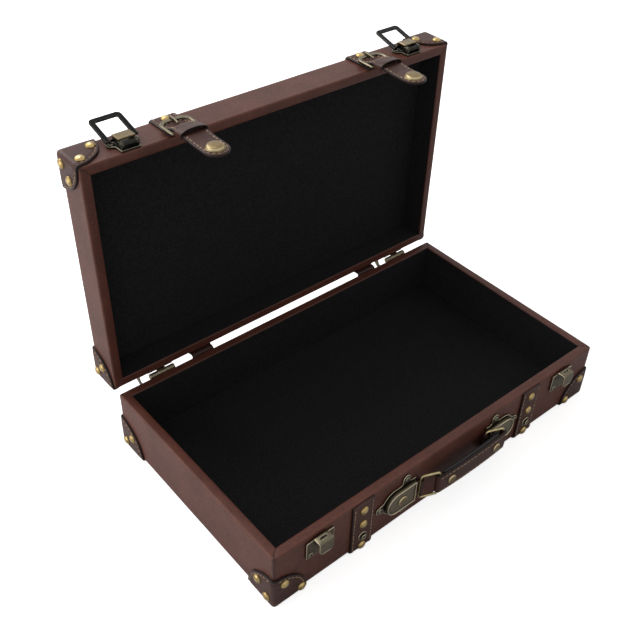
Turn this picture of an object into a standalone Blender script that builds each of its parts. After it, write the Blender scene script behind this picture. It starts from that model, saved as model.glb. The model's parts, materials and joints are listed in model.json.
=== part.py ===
"""A small travelling case in brown leather, standing open with its lid at a right angle.

The frame has +X along the case, the front at -Y and +Z up. Its origin is on the underside, at the middle of the
base. Lid pieces are drawn where they lie when the case is shut, and then hung on the hinge axis, which carries
them to the open pose. "Out" is a distance in front of the front face, and "up" is a height over the underside.
"""

import math
from dataclasses import dataclass

import bmesh
import bpy
from mathutils import Matrix, Vector

# Case
CASE_LENGTH = 0.400
CASE_WIDTH = 0.231
BASE_HEIGHT = 0.0625
LID_HEIGHT = 0.032
SHUT_GAP = 0.0005
RIM_WIDTH = 0.009
COVER_THICKNESS = 0.001
LINING_THICKNESS = 0.001
PANEL_THICKNESS = 0.004
EDGE_RADIUS = 0.0015
EDGE_STEPS = 2
OPEN_ANGLE = 90

# Fits
SEAT = 0.0003
OVERRUN = 0.001
MERGE_DISTANCE = 0.000001

# Leather trim
TRIM_THICKNESS = 0.0018
BASE_CORNER_RADIUS = 0.033
LID_CORNER_RADIUS = 0.0305
CORNER_STEPS = 24
SHEET_INSET = 0.002
SHEET_EDGE = 0.008

# Domed nails and screws, whose heads are pressed a little way into what they hold
HEAD_SINK = 0.0003
NAIL_RADIUS = 0.0045
NAIL_HEIGHT = 0.0026
NAIL_STEPS = 10
SCREW_RADIUS = 0.00275
SCREW_HEIGHT = 0.0013
SCREW_STEPS = 10
NAIL_MARGIN = 0.0008
BASE_NAIL_ANGLES = (14, 70)
LID_NAIL_ANGLES = (26, 75)
SIDE_NAIL_ANGLES = (52, 47)
SIDE_NAIL_SHARE = 0.42

# Straps
STRAP_PLACE_SHARE = 0.535
STRAP_WIDTH = 0.0245
BASE_STRAP_TOP = 0.061
LID_STRAP_BOTTOM = 0.064
LID_STRAP_NAIL_UP = 0.0892
BASE_STRAP_NAILS_UP = (0.052, 0.034, 0.0055)
STUD_UP = 0.0182
STUD_RADIUS = 0.005
STUD_POST_RADIUS = 0.0027
STUD_FLANGE = 0.0009
STUD_HEIGHT = 0.0026
STRAP_ARC_END = 70
BEND_STEPS = 3

# Tongue, loop and buckle
TONGUE_WIDTH = 0.023
TONGUE_TIP_UP = 0.0065
TONGUE_LOW_OUT = 0.0062
TONGUE_HIGH_OUT = 0.0075
TONGUE_LOW_UP = 0.034
TONGUE_BEND_UP = 0.046
CHAPE_TOP_UP = 0.079
CHAPE_SLOPE_TOP_UP = 0.0722
CHAPE_SLOPE_BOTTOM_UP = 0.0615
CAP_RADIUS = 0.0082
CAP_HEIGHT = 0.0032
CAP_POST_RADIUS = 0.0022
CAP_STEPS = 18
LOOP_THICKNESS = 0.001
LOOP_BOTTOM_UP = 0.0465
LOOP_TOP_UP = 0.0566
LOOP_FOOT = 0.004
LOOP_CROWN_OUT = 0.0125
LOOP_CLEARANCE = 0.0004
LOOP_STEPS = 10
BUCKLE_CLEARANCE = 0.0004
BUCKLE_BOTTOM_UP = 0.057
BUCKLE_TOP_UP = 0.081
BUCKLE_SIDE_BAR = 0.0026
BUCKLE_LOW_BAR = 0.0024
BUCKLE_TOP_BAR = 0.0034
BUCKLE_THICKNESS = 0.0016
BUCKLE_OUT = 0.0045
BUCKLE_TOP_RADIUS = 0.008
BUCKLE_LOW_RADIUS = 0.002
PRONG_RADIUS = 0.001
PRONG_TIP_UP = 0.0705
PRONG_TIP_OUT = 0.0063

# Latch
LATCH_FROM_END = 0.046
PLATE_THICKNESS = 0.0015
LATCH_PLATE_WIDTH = 0.0176
LATCH_PLATE_BOTTOM_UP = 0.0641
LATCH_PLATE_TOP_UP = 0.082
LATCH_EAR_RADIUS = 0.0044
LATCH_EAR_SPREAD = 0.0096
LATCH_EAR_UP = 0.0785
CHEEK_SPREAD = 0.0073
CHEEK_THICKNESS = 0.001
CHEEK_TOP_UP = 0.071
CHEEK_RADIUS = 0.0022
LEVER_PIVOT_OUT = 0.0055
LEVER_PIVOT_UP = 0.0665
LATCH_PIN_RADIUS = 0.001
LEVER_WIDTH = 0.0155
LEVER_PLATE = 0.0015
LEVER_FLANGE = 0.001
LEVER_FOOT_DROP = 0.002
LEVER_EYE_RADIUS = 0.0024
BAIL_EYE_RADIUS = 0.0022
BAIL_PIVOT_OUT = 0.00475
BAIL_PIVOT_UP = 0.0785
BAIL_WIDTH = 0.029
BAIL_STOCK = 0.0045
BAIL_THICKNESS = 0.002
BAIL_REACH = 0.0278
BAIL_CORNER_RADIUS = 0.004
BAIL_REST_ANGLE = 15

# Keeper
KEEPER_WIDTH = 0.029
KEEPER_EAR_BOTTOM_UP = 0.037
KEEPER_EAR_TOP_UP = 0.057
KEEPER_SCREW_SPREAD = 0.0102
KEEPER_SCREW_UP = 0.0412
HOOK_WIDTH = 0.0145
HOOK_TOP_UP = 0.059
HOOK_LIP_BOTTOM_UP = 0.045
HOOK_OUT = 0.010
HOOK_BACK_BOTTOM_UP = 0.048
HOOK_LIP_RADIUS = 0.004
SLOT_LENGTH = 0.007
SLOT_WIDTH = 0.0025

# Hinge
HINGE_PLACE_SHARE = 0.8
HINGE_INSET = 0.008
HINGE_BACK = 0.0033
HINGE_DROP = 0.0018
HINGE_WIDTH = 0.0265
HINGE_LEAF = 0.0012
HINGE_LEAF_REACH = 0.021
HINGE_MIDDLE_KNUCKLE = 0.0088
HINGE_PIN_RADIUS = 0.001
HINGE_STEPS = 12
HINGE_SCREW_SPREAD = 0.008
HINGE_SCREW_REACH = 0.0135
STOP_ARM_OFFSET = 0.009
STOP_ARM_THICKNESS = 0.0012
STOP_ARM_NEAR = 0.002
STOP_ARM_FAR = 0.006
STOP_FOOT_LOW = 0.004
STOP_FOOT_HIGH = 0.009

# Handle
HANDLE_UP = 0.034
HANDLE_FROM_STRAP = 0.065
HANDLE_PLATE_FLAT = 0.004
HANDLE_PLATE_END = 0.042
HANDLE_PLATE_HALF = 0.014
HANDLE_PLATE_THICKNESS = 0.0012
HANDLE_EAR_RADIUS = 0.0045
HANDLE_EAR_REACH = 0.015
HANDLE_EAR_END = 0.045
HANDLE_EAR_SPREAD = 0.0196
CAP_FLAT = 0.0055
CAP_END = 0.040
CAP_HALF = 0.0125
CAP_OUT = 0.005
CAP_WALL = 0.0012
CAP_BORDER = 0.0008
CAP_BORDER_WIDTH = 0.0016
CAP_RIVET_REACH = 0.022
CAP_RIVET_RADIUS = 0.005
CAP_RIVET_HEIGHT = 0.0017
RING_PIVOT_OUT = 0.0042
RING_WIRE_RADIUS = 0.0011
RING_WIDTH = 0.018
RING_HEIGHT = 0.028
RING_CORNER_RADIUS = 0.0025
RING_REST_ANGLE = 22
TAB_THICKNESS = 0.0014
TAB_WIDTH = 0.020
TAB_END = 0.018
TAB_OUT = 0.0028
TAB_BEND = 0.0045
GRIP_HEIGHT = 0.020
GRIP_THICKNESS = 0.0018
GRIP_BOW = 0.0025
GRIP_STEPS = 10
GRIP_RIVET_INSET = 0.0125
GRIP_RIVET_RADIUS = 0.0045
GRIP_RIVET_HEIGHT = 0.002
BACKING_THICKNESS = 0.0045
BACKING_INSET = 0.005
WRAP_END_ANGLE = 60

SIDES = {"left": -1, "right": 1}
DOME_SHARES = ((0, 1), (0.5, 0.86), (0.86, 0.5), (1, 0), (0, 0))
FLAT_DOME_SHARES = ((0, 1), (0.6, 0.85), (1, 0), (0, 0))
CAP_TOP_SHARES = ((0, 1), (0.5, 0.97), (0.86, 0.82), (0.98, 0.5), (1, 0.28), (0.96, 0))

STRAP_X = STRAP_PLACE_SHARE * CASE_LENGTH / 2
BUCKLE_WIDTH = TONGUE_WIDTH + 2 * (BUCKLE_SIDE_BAR + BUCKLE_CLEARANCE)
LATCH_X = CASE_LENGTH / 2 - LATCH_FROM_END
HINGE_X = HINGE_PLACE_SHARE * CASE_LENGTH / 2 - HINGE_INSET
RING_PIVOT_X = STRAP_X - HANDLE_FROM_STRAP
GRIP_SPAN = 2 * RING_PIVOT_X
FRONT_Y = -CASE_WIDTH / 2
REAR_Y = CASE_WIDTH / 2
BASE_BOTTOM_UP = TRIM_THICKNESS + SEAT
LID_RIM_UP = BASE_HEIGHT + SHUT_GAP
LID_TOP_UP = LID_RIM_UP + LID_HEIGHT
TRIM_MIDDLE = SEAT + TRIM_THICKNESS / 2
TRIM_SURFACE = SEAT + TRIM_THICKNESS
HINGE_Y = REAR_Y + HINGE_BACK
HINGE_UP = BASE_HEIGHT - HINGE_DROP
BARREL_RADIUS = HINGE_BACK - SEAT
PLATE_SURFACE = SEAT + PLATE_THICKNESS
RING_EYE_RADIUS = RING_WIRE_RADIUS + SEAT

# Drawing planes: an outline's two values run along x and up, along y and up, or along x and y
FRONT_PLANE = Matrix(((1, 0, 0, 0), (0, 0, -1, 0), (0, 1, 0, 0), (0, 0, 0, 1)))
SIDE_PLANE = Matrix(((0, 0, 1, 0), (1, 0, 0, 0), (0, 1, 0, 0), (0, 0, 0, 1)))
TOP_PLANE = Matrix.Identity(4)
ALONG_X = Matrix.Rotation(math.pi / 2, 4, "Y")
FACING = {
    "front": Matrix.Rotation(math.pi / 2, 4, "X"),
    "rear": Matrix.Rotation(-math.pi / 2, 4, "X"),
    "left": Matrix.Rotation(-math.pi / 2, 4, "Y"),
    "right": Matrix.Rotation(math.pi / 2, 4, "Y"),
}


@dataclass(frozen=True)
class Finish:
    """A plain surface: its name, linear colour, roughness and metallic value."""

    name: str
    colour: tuple
    roughness: float
    metallic: float = 0.0


COVER_LEATHER = Finish("cover_leather", (0.12, 0.05, 0.04), 0.5)
TRIM_LEATHER = Finish("trim_leather", (0.055, 0.03, 0.028), 0.55)
BLACK_FABRIC = Finish("black_fabric", (0.008, 0.008, 0.008), 0.95)
BLACK_PADDING = Finish("black_padding", (0.012, 0.012, 0.012), 0.7)
BOARD = Finish("board", (0.42, 0.3, 0.18), 0.8)
LEATHERBOARD = Finish("leatherboard", (0.05, 0.03, 0.022), 0.8)
GOLD_BRASS = Finish("gold_brass", (0.6, 0.4, 0.14), 0.3, 1.0)
AGED_BRASS = Finish("aged_brass", (0.2, 0.17, 0.1), 0.4, 1.0)
DARK_METAL = Finish("dark_metal", (0.04, 0.045, 0.04), 0.4, 1.0)
BLACK_METAL = Finish("black_metal", (0.012, 0.012, 0.012), 0.35, 1.0)


@dataclass
class Axis:
    """A turning line: the point it runs through when the case is shut, and the empty that stands there."""

    point: Vector
    empty: bpy.types.Object


@dataclass(frozen=True)
class Tray:
    """One half of the case: its name, the height of its closed face, its depth and the way that it opens."""

    name: str
    panel: str
    face_up: float
    depth: float
    way: int
    corner_radius: float
    nail_angles: tuple

    @property
    def nail_distance(self):
        """The distance from the corner to a nail at its leather's edge."""
        return self.corner_radius - NAIL_RADIUS - NAIL_MARGIN

    def up(self, depth):
        """The height of a point that lies this deep behind the closed face."""
        return self.face_up + self.way * depth

    def block(self, half_length, half_width, start, end):
        """A block centred on the case, between two depths."""
        low, high = sorted((self.up(start), self.up(end)))
        return box((-half_length, -half_width, low), (half_length, half_width, high))


BASE = Tray(
    name="base",
    panel="bottom",
    face_up=BASE_BOTTOM_UP,
    depth=BASE_HEIGHT - BASE_BOTTOM_UP,
    way=1,
    corner_radius=BASE_CORNER_RADIUS,
    nail_angles=BASE_NAIL_ANGLES,
)
LID = Tray(
    name="lid",
    panel="top",
    face_up=LID_TOP_UP,
    depth=LID_HEIGHT,
    way=-1,
    corner_radius=LID_CORNER_RADIUS,
    nail_angles=LID_NAIL_ANGLES,
)


def clear_scene():
    for item in list(bpy.data.objects):
        bpy.data.objects.remove(item, do_unlink=True)


def start_collection():
    collection = bpy.data.collections.new("travelling_case")
    bpy.context.scene.collection.children.link(collection)


def add_object(mesh):
    item = bpy.data.objects.new("piece", mesh)
    bpy.data.collections["travelling_case"].objects.link(item)
    return item


def object_from(work):
    """Turns a finished bmesh into an object."""
    bmesh.ops.recalc_face_normals(work, faces=work.faces)
    mesh = bpy.data.meshes.new("piece")
    work.to_mesh(mesh)
    work.free()
    return add_object(mesh)


def bake(item):
    """Replaces an object's modifiers by the mesh that they give."""
    bpy.context.view_layer.update()
    graph = bpy.context.evaluated_depsgraph_get()
    plain = item.data
    item.data = bpy.data.meshes.new_from_object(item.evaluated_get(graph))
    item.modifiers.clear()
    bpy.data.meshes.remove(plain)


def combine(piece, tool, operation):
    """Adds, cuts or keeps the part of a piece that another solid covers, and removes that solid."""
    modifier = piece.modifiers.new("combine", "BOOLEAN")
    modifier.operation = operation
    modifier.solver = "EXACT"
    modifier.material_mode = "TRANSFER"
    modifier.object = tool
    bake(piece)
    bpy.data.objects.remove(tool, do_unlink=True)
    return piece


def cut(piece, *tools):
    for tool in tools:
        combine(piece, tool, "DIFFERENCE")
    return piece


def fuse(piece, *others):
    for other in others:
        combine(piece, other, "UNION")
    return piece


def gather(pieces):
    """Puts separate solids into one object, each still a body of its own."""
    work = bmesh.new()
    for piece in pieces:
        work.from_mesh(piece.data)
        bpy.data.objects.remove(piece, do_unlink=True)
    return object_from(work)


def moved(piece, matrix):
    piece.data.transform(matrix)
    return piece


def box(low, high):
    """A block between two opposite corners."""
    size = Vector(high) - Vector(low)
    middle = (Vector(high) + Vector(low)) / 2
    work = bmesh.new()
    bmesh.ops.create_cube(work, size=1, matrix=Matrix.Translation(middle) @ Matrix.Diagonal((*size, 1)))
    return object_from(work)


def rounded_box(low, high, radius):
    piece = box(low, high)
    bevel = piece.modifiers.new("edges", "BEVEL")
    bevel.width = radius
    bevel.segments = EDGE_STEPS
    bake(piece)
    return piece


def cylinder_x(start_x, end_x, y, up, radius, steps):
    """A round bar along x."""
    work = bmesh.new()
    place = Matrix.Translation(((start_x + end_x) / 2, y, up)) @ ALONG_X
    bmesh.ops.create_cone(
        work, cap_ends=True, segments=steps, radius1=radius, radius2=radius, depth=abs(end_x - start_x), matrix=place
    )
    return object_from(work)


def ball(middle, radius, steps):
    work = bmesh.new()
    place = Matrix.Translation(middle)
    bmesh.ops.create_uvsphere(work, u_segments=steps, v_segments=steps // 2, radius=radius, matrix=place)
    return object_from(work)


def turned(profile, steps):
    """A solid turned about z from (radius, height) points that run down its outer side."""
    points = [(radius, 0, height) for radius, height in profile]
    edges = [(index, index + 1) for index in range(len(points) - 1)]
    mesh = bpy.data.meshes.new("piece")
    mesh.from_pydata(points, edges, [])
    piece = add_object(mesh)
    screw = piece.modifiers.new("turn", "SCREW")
    screw.steps = steps
    screw.render_steps = steps
    screw.use_merge_vertices = True
    screw.merge_threshold = MERGE_DISTANCE
    bake(piece)
    work = bmesh.new()
    work.from_mesh(piece.data)
    bpy.data.objects.remove(piece, do_unlink=True)
    bmesh.ops.remove_doubles(work, verts=work.verts, dist=MERGE_DISTANCE)
    return object_from(work)


def scaled_profile(shares, radius, height):
    return [(radius * across, height * along) for across, along in shares]


def dome(radius, height, steps, shares=DOME_SHARES):
    return turned(scaled_profile(shares, radius, height), steps)


def mesh_of(curve, plane, offset):
    """Makes a curve a closed mesh in a drawing plane, and removes the curve."""
    item = bpy.data.objects.new("curve", curve)
    item.matrix_world = Matrix.Translation(offset) @ plane
    bpy.data.collections["travelling_case"].objects.link(item)
    bpy.context.view_layer.update()
    graph = bpy.context.evaluated_depsgraph_get()
    mesh = bpy.data.meshes.new_from_object(item.evaluated_get(graph))
    mesh.transform(item.matrix_world)
    work = bmesh.new()
    work.from_mesh(mesh)
    bmesh.ops.remove_doubles(work, verts=work.verts, dist=MERGE_DISTANCE)
    bpy.data.objects.remove(item, do_unlink=True)
    bpy.data.meshes.remove(mesh)
    return object_from(work)


def add_spline(curve, points):
    spline = curve.splines.new("POLY")
    spline.points.add(len(points) - 1)
    for target, point in zip(spline.points, points):
        target.co = (*point, 1)


def slab(outlines, thickness, plane, offset):
    """A flat piece between outlines: the first is its edge and the others are its holes."""
    curve = bpy.data.curves.new("outline", "CURVE")
    curve.dimensions = "2D"
    curve.fill_mode = "BOTH"
    curve.extrude = thickness / 2
    for outline in outlines:
        add_spline(curve, [(*point, 0) for point in outline])
        curve.splines[-1].use_cyclic_u = True
    return mesh_of(curve, plane, offset)


def wire(points, radius, closed):
    """A round wire through points."""
    curve = bpy.data.curves.new("wire", "CURVE")
    curve.dimensions = "3D"
    curve.bevel_depth = radius
    curve.bevel_resolution = 2
    curve.use_fill_caps = not closed
    add_spline(curve, points)
    curve.splines[0].use_cyclic_u = closed
    return mesh_of(curve, TOP_PLANE, (0, 0, 0))


def arc(middle, radius, start, end, steps):
    """Points on an arc, between two angles in degrees."""
    turn = [math.radians(start + (end - start) * index / steps) for index in range(steps + 1)]
    return [Vector((middle[0] + radius * math.cos(angle), middle[1] + radius * math.sin(angle))) for angle in turn]


def circle(middle, radius):
    return arc(middle, radius, 0, 360, HINGE_STEPS)[:-1]


def ribbon(path, thickness):
    """The outline of a strip around its middle line, mitred at each bend."""
    points = [Vector(point) for point in path]
    runs = [(after - before).normalized() for before, after in zip(points, points[1:])]
    sides = []
    for index, point in enumerate(points):
        before = runs[max(index - 1, 0)]
        after = runs[min(index, len(runs) - 1)]
        mitre = (before + after).normalized()
        reach = thickness / 2 / mitre.dot(after)
        sides.append((point, Vector((-mitre.y, mitre.x)) * reach))
    return [point + side for point, side in sides] + [point - side for point, side in reversed(sides)]


def rounded_outline(half_width, bottom, top, low_radius, high_radius):
    """A flat frame's outline, symmetric about zero, with one radius for each pair of corners."""
    low = half_width - low_radius
    high = half_width - high_radius
    outline = arc((low, bottom + low_radius), low_radius, -90, 0, BEND_STEPS)
    outline += arc((high, top - high_radius), high_radius, 0, 90, BEND_STEPS)
    outline += arc((-high, top - high_radius), high_radius, 90, 180, BEND_STEPS)
    outline += arc((-low, bottom + low_radius), low_radius, 180, 270, BEND_STEPS)
    return outline


def capsule(first, second, radius):
    """The outline around two circles, the second one straight up or sideways from the first."""
    heading = math.degrees(math.atan2(second[1] - first[1], second[0] - first[0]))
    outline = arc(first, radius, heading + 90, heading + 270, 2 * BEND_STEPS)
    return outline + arc(second, radius, heading - 90, heading + 90, 2 * BEND_STEPS)


def in_front(out, up):
    """A point of a side outline, given by its distance in front of the case and its height."""
    return Vector((FRONT_Y - out, up))


def paint(piece, finish):
    """Gives a piece a material of its own."""
    material = bpy.data.materials.new(finish.name)
    material.use_nodes = True
    shader = material.node_tree.nodes["Principled BSDF"]
    shader.inputs["Base Color"].default_value = (*finish.colour, 1)
    shader.inputs["Roughness"].default_value = finish.roughness
    shader.inputs["Metallic"].default_value = finish.metallic
    piece.data.materials.append(material)
    return piece


def make_axis(name, point, parent=None):
    """Stands an empty on a turning line, carried by its parent's line."""
    empty = bpy.data.objects.new(name, None)
    bpy.data.collections["travelling_case"].objects.link(empty)
    empty.location = Vector(point)
    if parent:
        empty.parent = parent.empty
        empty.location = Vector(point) - parent.point
    return Axis(Vector(point), empty)


def with_heads(piece, finish, heads, head_finish):
    """Paints a piece and presses its nails, screws or rivets into it, so that they make one solid."""
    paint(piece, finish)
    return fuse(piece, paint(gather(heads), head_finish))


def finish_node(name, piece, finish, axis=None):
    """Names a finished piece, paints it if it still is bare, and hangs it on its axis."""
    piece.name = name
    piece.data.name = name
    if not piece.data.materials:
        paint(piece, finish)
    piece.data.shade_smooth()
    piece.data.set_sharp_from_angle(angle=math.radians(30))
    if axis:
        piece.data.transform(Matrix.Translation(-axis.point))
        piece.parent = axis.empty


# Case halves


def make_boards(tray, axis):
    """The glued frame of four boards and the thinner board across its closed face."""
    outer = COVER_THICKNESS + SEAT
    inner = RIM_WIDTH - LINING_THICKNESS - SEAT
    half_length = CASE_LENGTH / 2
    half_width = CASE_WIDTH / 2
    panel_end = outer + PANEL_THICKNESS
    start = panel_end + SEAT
    end = tray.depth - outer
    panel = tray.block(half_length - outer, half_width - outer, outer, panel_end)
    frame = tray.block(half_length - outer, half_width - outer, start, end)
    space = tray.block(half_length - inner, half_width - inner, start - OVERRUN, end + OVERRUN)
    finish_node(f"{tray.name}_{tray.panel}_board", panel, BOARD, axis)
    finish_node(f"{tray.name}_frame", cut(frame, space), BOARD, axis)


def make_cover(tray, axis):
    low, high = sorted((tray.face_up, tray.up(tray.depth)))
    half_length = CASE_LENGTH / 2
    half_width = CASE_WIDTH / 2
    cover = rounded_box((-half_length, -half_width, low), (half_length, half_width, high), EDGE_RADIUS)
    wall = COVER_THICKNESS
    cavity = tray.block(half_length - wall, half_width - wall, wall, tray.depth - wall)
    mouth = tray.block(half_length - RIM_WIDTH, half_width - RIM_WIDTH, tray.depth / 2, tray.depth + OVERRUN)
    finish_node(f"{tray.name}_cover", cut(cover, cavity, mouth), COVER_LEATHER, axis)


def make_lining(tray, axis):
    """The fabric lining over the boards' inner faces, up to the underside of the turned-in rim."""
    half_length = CASE_LENGTH / 2 - RIM_WIDTH
    half_width = CASE_WIDTH / 2 - RIM_WIDTH
    start = COVER_THICKNESS + SEAT + PANEL_THICKNESS + SEAT
    end = tray.depth - COVER_THICKNESS - SEAT
    thick = LINING_THICKNESS
    lining = tray.block(half_length + thick, half_width + thick, start, end)
    space = tray.block(half_length, half_width, start + thick, end + OVERRUN)
    finish_node(f"{tray.name}_lining", cut(lining, space), BLACK_FABRIC, axis)


def trim_shell(tray):
    """The thin shell around one half of the case in which its corner leathers lie."""
    low, high = sorted((tray.face_up, tray.up(tray.depth)))
    corner = Vector((CASE_LENGTH / 2, CASE_WIDTH / 2, 0))
    blocks = []
    for grow in (TRIM_SURFACE, SEAT):
        reach = Vector((grow, grow, grow))
        bottom = -corner + Vector((0, 0, low)) - reach
        top = corner + Vector((0, 0, high)) + reach
        blocks.append(rounded_box(bottom, top, EDGE_RADIUS + grow))
    return cut(*blocks)


def stand(piece, facing, place, height):
    """Stands a turned piece on one of the four upright faces, at a height over it."""
    outward = FACING[facing] @ Vector((0, 0, 1))
    return moved(piece, Matrix.Translation(Vector(place) + outward * height) @ FACING[facing])


def nail(facing, place):
    """A domed nail head, pressed into the leather trim."""
    return stand(dome(NAIL_RADIUS, NAIL_HEIGHT, NAIL_STEPS), facing, place, TRIM_SURFACE - HEAD_SINK)


def nail_spot(tray, distance, angle):
    """How far along its face and how high a nail stands, from its distance and angle at the corner."""
    turn = math.radians(angle)
    return distance * math.cos(turn), tray.up(distance * math.sin(turn) - TRIM_SURFACE)


def corner_nails(tray, corner, side_name, end_name):
    """Two nails on each of the two upright faces that meet at a corner."""
    far = tray.nail_distance
    nails = []
    for angle in tray.nail_angles:
        along, up = nail_spot(tray, far, angle)
        nails.append(nail(end_name, (corner.x - math.copysign(along, corner.x), corner.y, up)))
    for distance, angle in zip((far * SIDE_NAIL_SHARE, far), SIDE_NAIL_ANGLES):
        along, up = nail_spot(tray, distance, angle)
        nails.append(nail(side_name, (corner.x, corner.y - math.copysign(along, corner.y), up)))
    return nails


def make_corners(tray, axis):
    for end_name, end in (("front", FRONT_Y), ("rear", REAR_Y)):
        for side_name, side in SIDES.items():
            corner = Vector((side * CASE_LENGTH / 2, end, tray.face_up))
            leather = combine(trim_shell(tray), ball(corner, tray.corner_radius, CORNER_STEPS), "INTERSECT")
            nails = corner_nails(tray, corner, side_name, end_name)
            piece = with_heads(leather, TRIM_LEATHER, nails, GOLD_BRASS)
            finish_node(f"{tray.name}_corner_{end_name}_{side_name}", piece, TRIM_LEATHER, axis)


def make_bottom_sheet():
    half_length = STRAP_X - STRAP_WIDTH / 2 - SHEET_INSET
    half_width = CASE_WIDTH / 2 - SHEET_EDGE
    sheet = box((-half_length, -half_width, 0), (half_length, half_width, TRIM_THICKNESS))
    finish_node("bottom_sheet", sheet, LEATHERBOARD)


# Straps


def bend(corner_y, corner_up, start):
    """The middle line's quarter turn around one long edge of the case."""
    radius = EDGE_RADIUS + TRIM_MIDDLE
    return arc((corner_y, corner_up), radius, start, start + 90, BEND_STEPS)


def base_strap_path():
    """From the front rim under the base, up the rear face and part of the way round the hinge line."""
    low = BASE_BOTTOM_UP + EDGE_RADIUS
    path = [in_front(TRIM_MIDDLE, BASE_STRAP_TOP)]
    path += bend(FRONT_Y + EDGE_RADIUS, low, 180)
    path += bend(REAR_Y - EDGE_RADIUS, low, 270)
    path += arc((HINGE_Y, HINGE_UP), HINGE_BACK - TRIM_MIDDLE, 180, STRAP_ARC_END, 2 * BEND_STEPS)
    return path


def lid_strap_path():
    """From the front rim over the lid's top to just above the hinge line."""
    high = LID_TOP_UP - EDGE_RADIUS
    path = [Vector((REAR_Y + TRIM_MIDDLE, HINGE_UP + HINGE_BACK))]
    path += bend(REAR_Y - EDGE_RADIUS, high, 0)
    path += bend(FRONT_Y + EDGE_RADIUS, high, 90)
    path.append(in_front(TRIM_MIDDLE, LID_STRAP_BOTTOM))
    return path


def strip(path, thickness, width, x):
    return slab([ribbon(path, thickness)], thickness=width, plane=SIDE_PLANE, offset=(x, 0, 0))


def nailed_strap(path, x, heights):
    strap = strip(path, TRIM_THICKNESS, STRAP_WIDTH, x)
    nails = [nail("front", (x, FRONT_Y, up)) for up in heights]
    return with_heads(strap, TRIM_LEATHER, nails, GOLD_BRASS)


def make_straps(lid_axis):
    for name, side in SIDES.items():
        base_strap = nailed_strap(base_strap_path(), side * STRAP_X, BASE_STRAP_NAILS_UP)
        lid_strap = nailed_strap(lid_strap_path(), side * STRAP_X, (LID_STRAP_NAIL_UP,))
        finish_node(f"base_strap_{name}", base_strap, TRIM_LEATHER)
        finish_node(f"lid_strap_{name}", lid_strap, TRIM_LEATHER, lid_axis)


def make_studs():
    profile = [(0, STUD_HEIGHT), (STUD_POST_RADIUS, STUD_HEIGHT), (STUD_POST_RADIUS, STUD_FLANGE)]
    profile += [(STUD_RADIUS, STUD_FLANGE), (STUD_RADIUS, 0), (0, 0)]
    for name, side in SIDES.items():
        place = (side * STRAP_X, FRONT_Y, STUD_UP)
        stud = stand(turned(profile, NAIL_STEPS), "front", place, TRIM_SURFACE + SEAT)
        finish_node(f"snap_stud_{name}", stud, AGED_BRASS)


def chape(side):
    """The fixed end of the tongue's leather, which runs up from the loop to the buckle's arch."""
    low_out = TRIM_SURFACE + TRIM_MIDDLE
    path = [in_front(low_out, CHAPE_TOP_UP), in_front(low_out, CHAPE_SLOPE_TOP_UP)]
    path.append(in_front(TONGUE_HIGH_OUT, CHAPE_SLOPE_BOTTOM_UP))
    path.append(in_front(TONGUE_HIGH_OUT, TONGUE_BEND_UP + TRIM_SURFACE / 2 + SEAT))
    return strip(path, TRIM_THICKNESS, TONGUE_WIDTH, side * STRAP_X)


def loop(side):
    """The leather loop over the tongue, with its feet turned in under the tongue's leather."""
    half = TONGUE_WIDTH / 2 + LOOP_CLEARANCE + LOOP_THICKNESS / 2
    foot_out = TONGUE_HIGH_OUT - TRIM_MIDDLE - LOOP_THICKNESS / 2
    spring = TONGUE_HIGH_OUT + TRIM_THICKNESS / 2
    rise = LOOP_CROWN_OUT - LOOP_THICKNESS / 2 - spring
    path = [Vector((-half + LOOP_FOOT, foot_out)), Vector((-half, foot_out))]
    for point in arc((0, 0), 1, 180, 0, LOOP_STEPS):
        path.append(Vector((point.x * half, spring + point.y * rise)))
    path += [Vector((half, foot_out)), Vector((half - LOOP_FOOT, foot_out))]
    outline = [Vector((point.x, FRONT_Y - point.y)) for point in ribbon(path, LOOP_THICKNESS)]
    middle_up = (LOOP_BOTTOM_UP + LOOP_TOP_UP) / 2
    return slab([outline], LOOP_TOP_UP - LOOP_BOTTOM_UP, TOP_PLANE, (side * STRAP_X, 0, middle_up))


def buckle(side):
    half = BUCKLE_WIDTH / 2
    bottom = BUCKLE_BOTTOM_UP
    top = BUCKLE_TOP_UP
    outer = rounded_outline(half, bottom, top, BUCKLE_LOW_RADIUS, BUCKLE_TOP_RADIUS)
    inner_half = half - BUCKLE_SIDE_BAR
    inner_low = max(BUCKLE_LOW_RADIUS - BUCKLE_LOW_BAR / 2, SEAT)
    inner_high = BUCKLE_TOP_RADIUS - BUCKLE_SIDE_BAR / 2
    inner = rounded_outline(inner_half, bottom + BUCKLE_LOW_BAR, top - BUCKLE_TOP_BAR, inner_low, inner_high)
    middle = FRONT_Y - BUCKLE_OUT - BUCKLE_THICKNESS / 2
    return slab([outer, inner], BUCKLE_THICKNESS, FRONT_PLANE, (side * STRAP_X, middle, 0))


def prong(side):
    """The tongue pin, hooked over the buckle's arch with its tip on the leather below."""
    over = BUCKLE_OUT + BUCKLE_THICKNESS + SEAT + PRONG_RADIUS
    behind = BUCKLE_TOP_UP + SEAT + PRONG_RADIUS
    path = [in_front(BUCKLE_OUT, behind), in_front(over - PRONG_RADIUS, behind)]
    path += [in_front(over, BUCKLE_TOP_UP), in_front(over, BUCKLE_TOP_UP - BUCKLE_TOP_BAR)]
    path.append(in_front(PRONG_TIP_OUT, PRONG_TIP_UP))
    return wire([(side * STRAP_X, *point) for point in path], PRONG_RADIUS, False)


def make_buckles(lid_axis):
    for name, side in SIDES.items():
        finish_node(f"strap_chape_{name}", chape(side), TRIM_LEATHER, lid_axis)
        finish_node(f"strap_loop_{name}", loop(side), TRIM_LEATHER, lid_axis)
        finish_node(f"buckle_frame_{name}", buckle(side), AGED_BRASS, lid_axis)
        finish_node(f"buckle_prong_{name}", prong(side), AGED_BRASS, lid_axis)


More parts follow.
